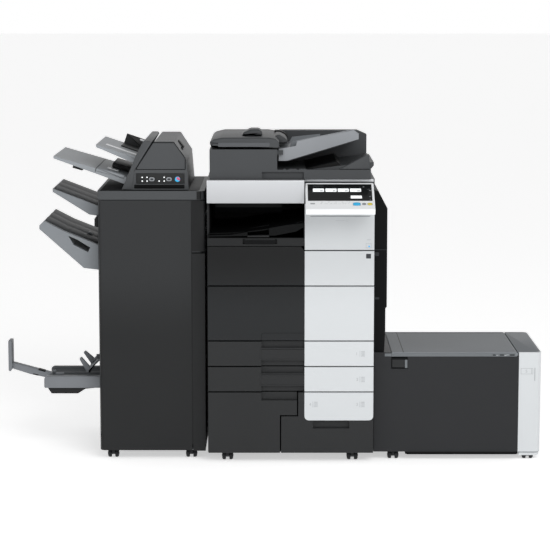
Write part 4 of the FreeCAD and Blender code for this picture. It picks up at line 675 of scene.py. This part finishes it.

# ---------------------------------------------------------------------------
# Finisher trim: a black grained top sheet, dark strips at the right edge of the door and of the top cover,
# which are painted shade where the finisher's rounded corner turns away from the light, and a slide cover on
# the tray side.
# ---------------------------------------------------------------------------
FIN_TOP = 1020
edge_abs = moulded_abs("finisher_edge_abs", "#121314")
top_sheet = rounded_outline([(-400, 66), (-30, 66), (-30, 664), (-400, 664)], (6, 22, 22, 6), 8)
assemble("finisher_top_sheet", [carried(top_sheet, (FIN_TOP - 0.4, FIN_TOP + 0.8), "Z", 0.6, 3)], jet_abs,
         "machine")
# The door's right edge is drawn as dark strips: painted shade on the rounded corner.
strip = carried(box_outline((-57, -13), (794, 984), 1.5), (54.5, 56), "Y", 0.4)
assemble("finisher_door_edge", [strip, carried(box_outline((-57, -61.5), (60, 984), 0.6), (54.7, 56), "Y",
                                               0.2)],
         edge_abs, "finisher_door")
left_line = carried(box_outline((-402, -400.8), (44, 984), 0.4), (54.7, 55.5), "Y", 0.2)
assemble("finisher_door_line", [left_line], jet_abs, "finisher_door")
# The top cover's right corner is drawn dark: painted shade where it rounds away.
cover_end = rounded_outline([(-40, 54.5), (-24, 54.6), (-9.6, 68), (-9.6, 110), (-40, 110)],
                            (1, 14, 14, 1, 1), 8)
assemble("finisher_cover_corner", [carried(cover_end, (988, 1019), "Z", 1)], edge_abs, "machine")
assemble("finisher_slide_cover", [carried(rounded_outline([(-424, 884), (-410, 878), (-410, 922), (-418, 920),
                                                           (-424, 912)], 2), (92, 168), "Y", 2)],
         edge_abs, "machine")

# ---------------------------------------------------------------------------
# Sheet inserter: a grey ABS housing with a raised front cover, a slanted
# frame at its left and a black key field in its foot.
# ---------------------------------------------------------------------------
FRONT = 96
inserter_abs = moulded_abs("inserter_grey_abs", "#46484a", roughness=0.42)
inserter_dark = moulded_abs("inserter_dark_abs", "#242526", roughness=0.45)
paint("inserter_body", inserter_abs)
face = rounded_outline([(-201.5, 1196), (-125, 1196), (-84, 1139), (-84, 1098), (-266, 1098)],
                       (3, 3, 5, 3, 3), 5)
seam = rounded_outline([(-203.5, 1198.5), (-124, 1198.5), (-81.5, 1140), (-81.5, 1095.5), (-270, 1095.5)],
                       (3, 3, 5, 3, 3), 5)
assemble("inserter_cover_seam", [carried(seam, (FRONT - 0.5, FRONT + 1), "Y", 0.2, 3)], jet_abs, "machine")
assemble("inserter_front_cover", [carried(face, (FRONT - 3, FRONT + 2), "Y", 1.6, 5)], inserter_abs,
         "machine")
frame_band = rounded_outline([(-321, 1020.5), (-282, 1020.5), (-272, 1094), (-206, 1199), (-216, 1203),
                              (-238, 1203), (-262, 1160)], (2, 2, 8, 6, 5, 6, 30), 5)
assemble("inserter_left_frame", [carried(frame_band, (FRONT - 2, 640), "Y", 2.5)], inserter_abs, "machine",
         smooth=30)
foot = rounded_outline([(-274, 1040), (-86, 1040), (-86, 1025.5), (-274, 1025.5)], 1.5)
assemble("inserter_foot_step", [carried(foot, (FRONT - 0.8, FRONT + 1), "Y", 0.4)], jet_abs, "machine")
film = rounded_outline([(-266, 1043.5), (-87, 1043.5), (-87, 1081.5), (-266, 1081.5)], 5)
assemble("inserter_key_field", [carried(film, (FRONT + 4.6, FRONT + 6.2), "Y", 0.3)], inserter_dark,
         "machine")


def dot(x, z, radius, y, depth=0.6):
    """A domed round mark on a face at y, turned about the depth axis."""
    t = np.linspace(0, math.pi / 2, 5)
    profile = np.concatenate([[(radius, depth)], np.stack([radius * np.cos(t[:-1]), -depth * np.sin(t[:-1])],
                                                          1),
                              [(radius * 0.08, -depth)]])
    return turned(profile, (x, y, z), "Y", 20)


leds = [dot(x, z, 2.6, FRONT + 4.6) for x, z in ((-244, 1067), (-226, 1067), (-244, 1053), (-226, 1053),
                                                  (-162, 1067), (-181, 1053), (-162, 1053))]
assemble("inserter_lamps", leds, display_white, "machine")
for key, x in (("inserter_left_key", -208), ("inserter_right_key", -144)):
    oval = rounded_outline([(x - 10.5, 1052.5), (x + 10.5, 1052.5), (x + 10.5, 1067.5), (x - 10.5, 1067.5)],
                           7.4, 8)
    inner = rounded_outline([(x - 6, 1056.5), (x + 6, 1056.5), (x + 6, 1063.5), (x - 6, 1063.5)], 3.4, 6)
    assemble(key + "_cap", [carried(oval, (97.6, 106), "Y", 1.2, 5)], key_grey, key, [key])
    assemble(key + "_mark", [carried(inner, (97.3, 98.5), "Y", 0.2, 3)], ink_dark, key)
assemble("inserter_start_cap", [carried(rounded_outline([(-122, 1050), (-102, 1050), (-102, 1070),
                                                         (-122, 1070)],
                                                        9.9, 10), (98, 106), "Y", 1.2, 5)], key_blue,
         "inserter_start_key", ["inserter_start_key"])
key_pink = moulded_abs("pink_key_resin", "#d0607c", roughness=0.3, depth=0.03)
half = rounded_outline([(-117, 1061), (-103.5, 1054), (-102.6, 1060), (-106, 1067), (-114, 1069)],
                       (1, 2, 4, 4, 2), 5)
assemble("inserter_start_half", [carried(half, (97.5, 98.4), "Y", 0.2, 3)], key_pink, "inserter_start_key")
chamfer = carried([(-117, 1191.5), (-96, 1165.5), (-94.5, 1166.7), (-115.5, 1192.7)], (270, 330), "Y", 0.4)
assemble("inserter_hand_slot", [chamfer], jet_abs, "machine")

# ---------------------------------------------------------------------------
# Inserter trays: two light grey ABS trays with white paper guides, a dark
# rear guide, and a pull-out end on the lower tray.
# ---------------------------------------------------------------------------
pale_abs = moulded_abs("inserter_tray_grey_abs", "#8e9296", roughness=0.4)
guide_white = moulded_abs("white_guide_acetal", "#e8eaec", roughness=0.3, depth=0.04, tone=0.01, gloss=0.5)
paint("inserter_upper_tray inserter_lower_tray", pale_abs)


def slope(x0, z0, x1, z1, low, high):
    """An outline that lies along a line, between two heights above it."""
    run = np.array([x1 - x0, z1 - z0], float)
    up = np.array([-run[1], run[0]]) / np.linalg.norm(run)
    up *= np.sign(up[1])
    start, end = np.array([x0, z0]), np.array([x1, z1])
    return rounded_outline([start + up * low, end + up * low, end + up * high, start + up * high],
                           min(1.5, (high - low) / 2.2))


UPPER = (-420, 1186.5, -250, 1128)
LOWER = (-580, 1143.5, -290, 1060)


def level(line, x):
    """The level of a sloping tray top at x."""
    return line[1] + (line[3] - line[1]) * (x - line[0]) / (line[2] - line[0])


def along_top(line, x0, x1, low, high):
    """An outline that follows a tray's top between two places."""
    return slope(x0, level(line, x0), x1, level(line, x1), low, high)


white_strips = [carried(along_top(UPPER, -392, -256, 0, 2.2), (262, 300), "Y", 1),
                carried(along_top(LOWER, -388, -344, 0, 2.6), (250, 300), "Y", 1)]
assemble("inserter_paper_guides", white_strips, guide_white, "machine")
dark_guides = [carried(along_top(UPPER, -345, -256, 0, 42), (548, 562), "Y", 3),
               carried(along_top(UPPER, -345, -262, 0, 5), (400, 548), "Y", 1.5),
               carried(along_top(LOWER, -376, -300, 0, 20), (330, 560), "Y", 3),
               carried(along_top(LOWER, -503, -466, -24, -12), (152, 240), "Y", 4)]
assemble("inserter_rear_guides", dark_guides, inserter_dark, "machine")
assemble("inserter_guide_label", [carried(along_top(UPPER, -292, -262, 33, 40), (546.5, 548.5), "Y", 0.3)],
         guide_white, "machine")
blocks = [carried(along_top(UPPER, -330, -254, -9.5, 6), (149.5, 185), "Y", 2.5),
          carried(along_top(UPPER, -414, -334, -10.5, -1), (149.5, 170), "Y", 1.5),
          carried(along_top(LOWER, -416, -312, -12, 3), (149.5, 185), "Y", 3),
          carried(rounded_outline([(-322, 1040), (-306, 1034), (-300, 1058), (-316, 1062)], 5), (149.4, 200),
                  "Y", 3)]
assemble("inserter_front_guides", blocks, pale_abs, "machine")
joints = [carried(along_top(LOWER, -421, -418.6, -14, 1.0), (149.3, 590), "Y", 0.4)]
assemble("inserter_tray_joint", joints, jet_abs, "machine")

# ---------------------------------------------------------------------------
# Output trays: light grey side walls with dark ribbed floors, each floor a
# separate moulding with channels along the paper's way.
# ---------------------------------------------------------------------------
wall_abs = moulded_abs("output_tray_grey_abs", "#7d8185", roughness=0.42)
floor_abs = moulded_abs("output_tray_floor_abs", "#2c2e30", roughness=0.45)
paint("upper_output_tray main_output_tray", wall_abs)
SAMPLE = (-587, 1018.5, -411, 950.5)


def ribbed(line, x, y, ribs, rise):
    """A ribbed floor: height over the tray = rise * |sin(ribs * pi * v)|^0.6 across its depth."""
    u, v = np.meshgrid(np.linspace(0, 1, 6), np.linspace(0, 1, 8 * ribs + 1), indexing="ij")
    px = x[0] + (x[1] - x[0]) * u
    base = level(line, px)
    height = 0.6 + rise * np.abs(np.sin(ribs * math.pi * v)) ** 0.6
    top = np.stack([px, y[0] + (y[1] - y[0]) * v, base + height], -1)
    low = np.stack([px, top[..., 1], base - 0.8], -1)
    rings = np.concatenate([top, low[:, ::-1]], 1)
    return ringed(rings)


assemble("upper_output_floor", [ribbed(SAMPLE, (-582, -412), (186, 572), 3, 3.5)], floor_abs, "machine")
MAIN_NEAR = (-618, 898.5, -547, 861.5)
MAIN_FAR = (-547, 861.5, -411, 806.5)
floors = [ribbed(MAIN_NEAR, (-616, -548), (172, 572), 3, 4), ribbed(MAIN_FAR, (-548, -412), (172, 572), 3, 4)]
assemble("main_output_floor", floors, floor_abs, "main_output_tray")
pad = carried(along_top(MAIN_FAR, -470, -452, 2, 9), (300, 330), "Y", 3)
assemble("main_output_pad", [pad], wall_abs, "main_output_tray")

# ---------------------------------------------------------------------------
# Booklet tray: a grey ABS deck with a rolled front wall and a dark bin under
# it, a long sliding stop, and V-shaped flaps that press the folded booklets.
# ---------------------------------------------------------------------------
booklet_abs = moulded_abs("booklet_tray_grey_abs", "#75787c", roughness=0.42)
# A darker copy of the grey ABS for the deck and the stop's hollow: painted shade in the tray's recess and in
# the hollow.
booklet_painted_shade_abs = moulded_abs("booklet_deck_painted_shade_abs", "#55585b", roughness=0.45)
front_wall = rounded_outline([(-628, 257), (-628, 302), (-411.5, 302), (-411.5, 257)], (5, 13, 2, 2), 8)
assemble("booklet_front_wall", [carried(front_wall, (149.5, 172), "Y", 2.2, 3)], booklet_abs, "machine",
         ["booklet_tray"])
deck = rounded_outline([(-624, 262), (-624, 281), (-411.5, 281), (-411.5, 262)], 3)
rear_wall = rounded_outline([(-629, 262), (-629, 286), (-619, 291), (-411.5, 291), (-411.5, 262)],
                            (3, 6, 8, 1, 1), 5)
ribs = [carried(rounded_outline([(-612, 280), (-609, 284), (-413, 284), (-413, 280)], 1.2, 3),
                (y, y + 5), "Y", 1.2) for y in (190, 214, 238, 262, 286, 370, 394)]
floor = rounded_outline([(-624, 257.2), (-624, 261), (-411.5, 261), (-411.5, 257.2)], 1.5)
decks = [carried(deck, (168, 311.5), "Y", 2), carried(deck, (348.5, 446), "Y", 2),
         carried(floor, (168, 446), "Y", 1),
         carried(rear_wall, (418, 444), "Y", 2.5, 4)]
assemble("booklet_deck", decks + ribs, booklet_painted_shade_abs, "machine")
bin_outline = rounded_outline([(-619, 266), (-613, 252), (-601, 234), (-500, 234), (-472, 252), (-430, 256),
                               (-428, 266)], (2, 3, 5, 10, 6, 2, 2), 4)
assemble("booklet_under_bin", [carried(bin_outline, (158, 440), "Y", 1.5)], charcoal_abs, "machine")
side_pads = [carried(box_outline((-600, -568), (280, 289), 3), (300, 309), "Y", 1.5),
             carried(box_outline((-618, -604), (280, 288), 3), (352, 366), "Y", 1.5)]
assemble("booklet_side_pads", side_pads, booklet_abs, "machine")


def limbs(run_in, run_out, low, span):
    """Two closed, tapering beams from the point low out to the tips run_in and run_out, all (x, z)."""
    return [carried(rounded_outline([(low[0] - 7, low[1] + 2), (low[0] + 6, low[1] + 2),
                                     (low[0] + 4, low[1] + 24), (tip[0] + reach, tip[1]),
                                     (tip[0], tip[1] + 1), (tip[0] - reach, tip[1] - 5)][::turn],
                                    (5, 5, 5, 2, 2, 2)[::turn], 4), span, "Y", 1.4, 3)
            for tip, reach, turn in ((run_in, 4.5, 1), (run_out, -4.5, 1))]


vees = limbs((-495, 361), (-419, 361), (-464, 302), (222, 242))
vees += limbs((-491, 363), (-419, 361), (-459, 312), (352, 372))
rod = carried(rounded_outline([(-467, 309), (-467, 318), (-457, 318), (-457, 309)], 4, 6), (236, 366), "Y", 1)
assemble("booklet_vee_flaps", vees + [rod], booklet_abs, "booklet_flaps", ["booklet_flaps"])
plate = rounded_outline([(-783, 296), (-776, 291), (-768.5, 302), (-768.5, 413), (-783, 413)],
                        (3, 4, 3, 3, 3), 5)
hollow = rounded_outline([(313, 320), (347, 320), (347, 404), (313, 404)], 4)
arm = rounded_outline([(-774, 302), (-774, 326), (-760, 324), (-614, 284), (-614, 262), (-700, 280),
                       (-765, 301)],
                      (4, 5, 9, 3, 3, 8, 5), 5)
assemble("booklet_stop_plate", [carried(plate, (303, 366), "Y", 2.5, 4),
                                carried(arm, (313.5, 346.5), "Y", 2, 3)],
         booklet_abs, "booklet_stop", ["booklet_stop"])
# The hollow is drawn as a thin darker plate: painted shade in it.
assemble("booklet_stop_hollow", [carried(hollow, (-768.6, -767.4), "X", 0.3)], booklet_painted_shade_abs, "booklet_stop")
slots = [carried(slope(-668, 298.9, -641, 291.5, -3.2, 0.9), (313.0, 345), "Y", 0.3),
         carried(slope(-690, 280.5, -668, 275.6, -2, 2.5), (313.0, 330), "Y", 0.3)]
assemble("booklet_arm_slots", slots, jet_abs, "booklet_stop")

# ---------------------------------------------------------------------------
# Side paper unit: a dark cabinet with a grey lid, a latch lever in a black
# pocket, a white end cover with a foot and a dark skirt that hides casters.
# ---------------------------------------------------------------------------
LID_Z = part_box("side_unit_lid")[1][2] / MM
lid_edge_abs = moulded_abs("paper_unit_edge_abs", "#6a6e71", roughness=0.42)
seams = [carried(rounded_outline([(733, 54), (736.2, 54), (736.2, 504), (733, 504)], 0.5, 3),
                 (LID_Z - 0.5, LID_Z + 0.2), "Z", 0.1, 2),
         carried(box_outline((700, 1150), (488, 491), 0.4, 3), (LID_Z - 0.5, LID_Z + 0.2), "Z", 0.1, 2)]
assemble("side_lid_seams", seams, inserter_dark, "side_unit_lid")
front_lip = rounded_outline([(49.4, 397), (49.4, 408), (55, 412), (60, 412), (60, 397)], (1, 3, 6, 1, 1), 6)
assemble("side_lid_front_lip", [carried(front_lip, (693, 1156), "X", 1)], lid_edge_abs, "side_unit_lid")
assemble("side_unit_left_lip", [carried(front_lip, (664, 690), "X", 1)], lid_edge_abs, "machine")
signs = [carried(box_outline(x, (400.5, 404.5), 1), (48.9, 50), "Y", 0.2) for x in
         ((1070, 1081), (1096, 1112), (1134, 1152))]
assemble("side_lid_signs", signs, jet_abs, "side_unit_lid")
signs = [carried(box_outline(x, z, 0.5), (48.7, 49.6), "Y", 0.2) for x, z in
         (((1083, 1090), (399, 401)), ((1114, 1121), (399, 402)), ((1121, 1130), (402, 404)))]
assemble("side_lid_sign_lights", signs, ink_pale, "side_unit_lid")
top_panel = rounded_outline([(1165.4, 60), (1238, 60), (1250.5, 76), (1250.5, 500), (1236, 518.5),
                             (1165.4, 518.5)],
                            (1, 12, 12, 12, 12, 1), 6)
assemble("end_cover_top", [carried(top_panel, (LID_Z - 12, LID_Z - 0.05), "Z", 0.6, 3)], lid_abs, "machine")
foot = rounded_outline([(1172, 54), (1240, 54), (1249, 64), (1249, 80), (1172, 80)], (2, 10, 8, 2, 2), 6)
assemble("end_cover_foot", [carried(foot, (17, 29), "Z", 2, 4)], white_abs, "machine")
rim = rounded_outline([(1170, 51), (1240, 51), (1252, 65), (1252, 84), (1170, 84)], (1, 12, 8, 1, 1), 6)
assemble("end_cover_foot_line", [carried(rim, (29, 33), "Z", 0.4, 3)], ink_grey, "machine")
marks = framed((1176.5, 1222), (329.5, 352), 49.8, 1.2)
marks += [printed((1227.5, 1230.5), (304, 354), 49.8), digits("5", 1194, 335.5, 11, 49.8)]
marks += [printed((1216, 1217.2), (330, 352), 49.8)]
assemble("end_cover_marks", marks, ink_pale, "machine")
skirt = rounded_outline([(746, 24), (752, 20.8), (1164, 20.8), (1168.5, 26), (1168.5, 34), (740, 34)],
                        (2, 3, 4, 3, 1, 1), 4)
assemble("side_unit_skirt", [carried(skirt, (51.2, 60), "Y", 1)], jet_abs, "machine")
assemble("side_lever_pad", [carried(box_outline((692, 738), (356, 385.5), 2), (46.6, 49.6), "Y", 1)],
         inserter_dark, "side_unit_lever")
assemble("side_lever_bar", [carried(box_outline((739, 750), (353, 385.5), 2.5), (46.4, 52), "Y", 2, 5)],
         lid_edge_abs, "side_unit_lever")

# ---------------------------------------------------------------------------
# Right side door: louvres in its sloping shoulder let the fuser's heat out;
# a grip bar and seams break its face, all in black ABS.
# ---------------------------------------------------------------------------
louvre_abs = moulded_abs("louvre_black_abs", "#2b2d30", roughness=0.42)
slats = []
for x, z in ((638, 1016), (645, 1003), (652, 991), (659, 978), (665, 966)):
    slats.append(carried(rounded_outline([(x - 10, z - 6), (x, z - 8), (x + 1.5, z - 4.5), (x - 8, z + 1)],
                                         1.2, 3),
                         (72, 640), "Y", 1.2))
assemble("right_door_louvres", slats, louvre_abs, "machine")
trims = [carried(box_outline((624, 670.5), (798.5, 800.5), 0.6), (59.3, 61), "Y", 0.3),
         carried(box_outline((624, 640), (776, 790), 2), (59.2, 61), "Y", 0.5),
         carried(box_outline((624, 642), (612, 620), 2), (59.2, 61), "Y", 0.5)]
assemble("right_door_seams", trims, louvre_abs, "machine")

# ---------------------------------------------------------------------------
# Casters: black nylon twin wheels with a domed outer face, a rounded tread
# and a sunk hub, held by a hooded fork under each corner of the three units.
# ---------------------------------------------------------------------------
FINISHER_CASTERS = [(x, 34, y) for x in (-362, -65) for y in (103, 615)]
ENGINE_CASTERS = [(x, 36, y) for x in (73, 544) for y in (60, 620)]
SIDE_CASTERS = [(x, 32, y) for x in (699, 1209) for y in (80, 480)]
FLOOR_GAP = 3           # between a wheel's top and the base plate above it
YOKE_HALF = 5.8         # half the fork's width, between the two wheels


def tread(r):
    """Half a twin wheel as (radius, place from the middle): inner face, tread, domed face and sunk hub."""
    return [(0.02, 6.5), (r - 3, 6.5), (r - 0.6, 7.6), (r, 9.5), (r, 14), (r - 1.2, 17.5), (r - 4.5, 20.4),
            (r - 7.5, 20.8), (4.6, 17.2), (0.02, 17.0)]


def yoke(y, r, base):
    """The fork's outline (y, z): a hood under the base plate that narrows to the axle."""
    return rounded_outline([(y - 14, r + 2), (y - 14, base - 5), (y - 8, base - 1.5), (y + 8, base - 1.5),
                            (y + 14, base - 5), (y + 14, r + 2), (y + 6, r - 4), (y - 6, r - 4)],
                           (2, 4, 3, 3, 4, 2, 3, 3), 4)


wheels = []
hoods = []
for x, base, y in FINISHER_CASTERS + ENGINE_CASTERS + SIDE_CASTERS:
    wheel_r = (base - FLOOR_GAP) / 2
    for side in (-1, 1):
        wheels.append(turned([(r, side * place) for r, place in tread(wheel_r)], (x, y, wheel_r), "X", 40))
    hoods.append(carried(yoke(y, wheel_r, base), (x - YOKE_HALF, x + YOKE_HALF), "X", 1.2))
assemble("caster_treads", wheels, caster_nylon, "machine", ["caster_wheels"])
assemble("caster_yokes", hoods, caster_nylon, "machine")

# ---------------------------------------------------------------------------
# Studio: a pale floor, a broad soft light in front and above, a fill from the
# left and a white surround, with the camera at a standing person's eye level
# some way in front of the machine.
# ---------------------------------------------------------------------------
CAMERA_X = 252          # in line with the engine's left third
CAMERA_AWAY = 7536
CAMERA_HEIGHT = 1753
CAMERA_DOWN = 7.86
LENS = 134.2

bpy.ops.mesh.primitive_plane_add(size=160, location=(0, 0, 0))
floor = bpy.context.object
floor.name = "studio_floor"
floor_vinyl = moulded_abs("pale_floor_vinyl", "#fdfdfd", roughness=0.8, depth=0.02, tone=0.003, gloss=0.1)
floor_shader = next(n for n in floor_vinyl.node_tree.nodes if n.type == "BSDF_PRINCIPLED")
floor_shader.inputs["Emission Color"].default_value = (1, 1, 1, 1)
floor_shader.inputs["Emission Strength"].default_value = 0.5      # a floor lit from below, as in a white cove
floor.data.materials.append(floor_vinyl)


def soft_light(name, place, towards, size, power):
    """A square area light that faces a point."""
    lamp = bpy.data.lights.new(name, "AREA")
    lamp.shape = "RECTANGLE"
    lamp.size, lamp.size_y = size
    lamp.energy = power
    holder = bpy.data.objects.new(name, lamp)
    bpy.context.scene.collection.objects.link(holder)
    holder.location = place
    holder.rotation_euler = (Vector(towards) - Vector(place)).to_track_quat("-Z", "Y").to_euler()


soft_light("key_light", (1.5, -4.5, 3.4), (0, 0, 0.6), (3.0, 2.0), 112)
soft_light("fill_light", (-4.0, -3.0, 1.8), (0, 0, 0.6), (2.5, 2.5), 24)
world = bpy.data.worlds.new("white_surround")
world.use_nodes = True
sky = world.node_tree
direction = add(sky, "ShaderNodeTexCoord")
height = add(sky, "ShaderNodeSeparateXYZ", inputs={"Vector": (direction, "Generated")})
dimmed = add(sky, "ShaderNodeMapRange", {"interpolation_type": "SMOOTHSTEP"}, {
    "Value": (height, "Z"), "From Min": 0.12, "From Max": 0.75, "To Min": 1.0, "To Max": 0.28})
sky.links.new(dimmed.outputs["Result"], sky.nodes["Background"].inputs["Strength"])
sky.nodes["Background"].inputs["Color"].default_value = (1, 1, 1, 1)
bpy.context.scene.world = world
bpy.context.scene.view_settings.view_transform = "Standard"

camera = bpy.data.objects.new("camera", bpy.data.cameras.new("camera"))
bpy.context.scene.collection.objects.link(camera)
camera.data.lens = LENS
camera.data.sensor_width = 36
camera.location = (ENGINE_X + CAMERA_X * MM, FACE_Y - CAMERA_AWAY * MM, CAMERA_HEIGHT * MM)
camera.rotation_euler = (math.radians(90 - CAMERA_DOWN), 0, 0)
bpy.context.scene.camera = camera

bpy.context.view_layer.update()
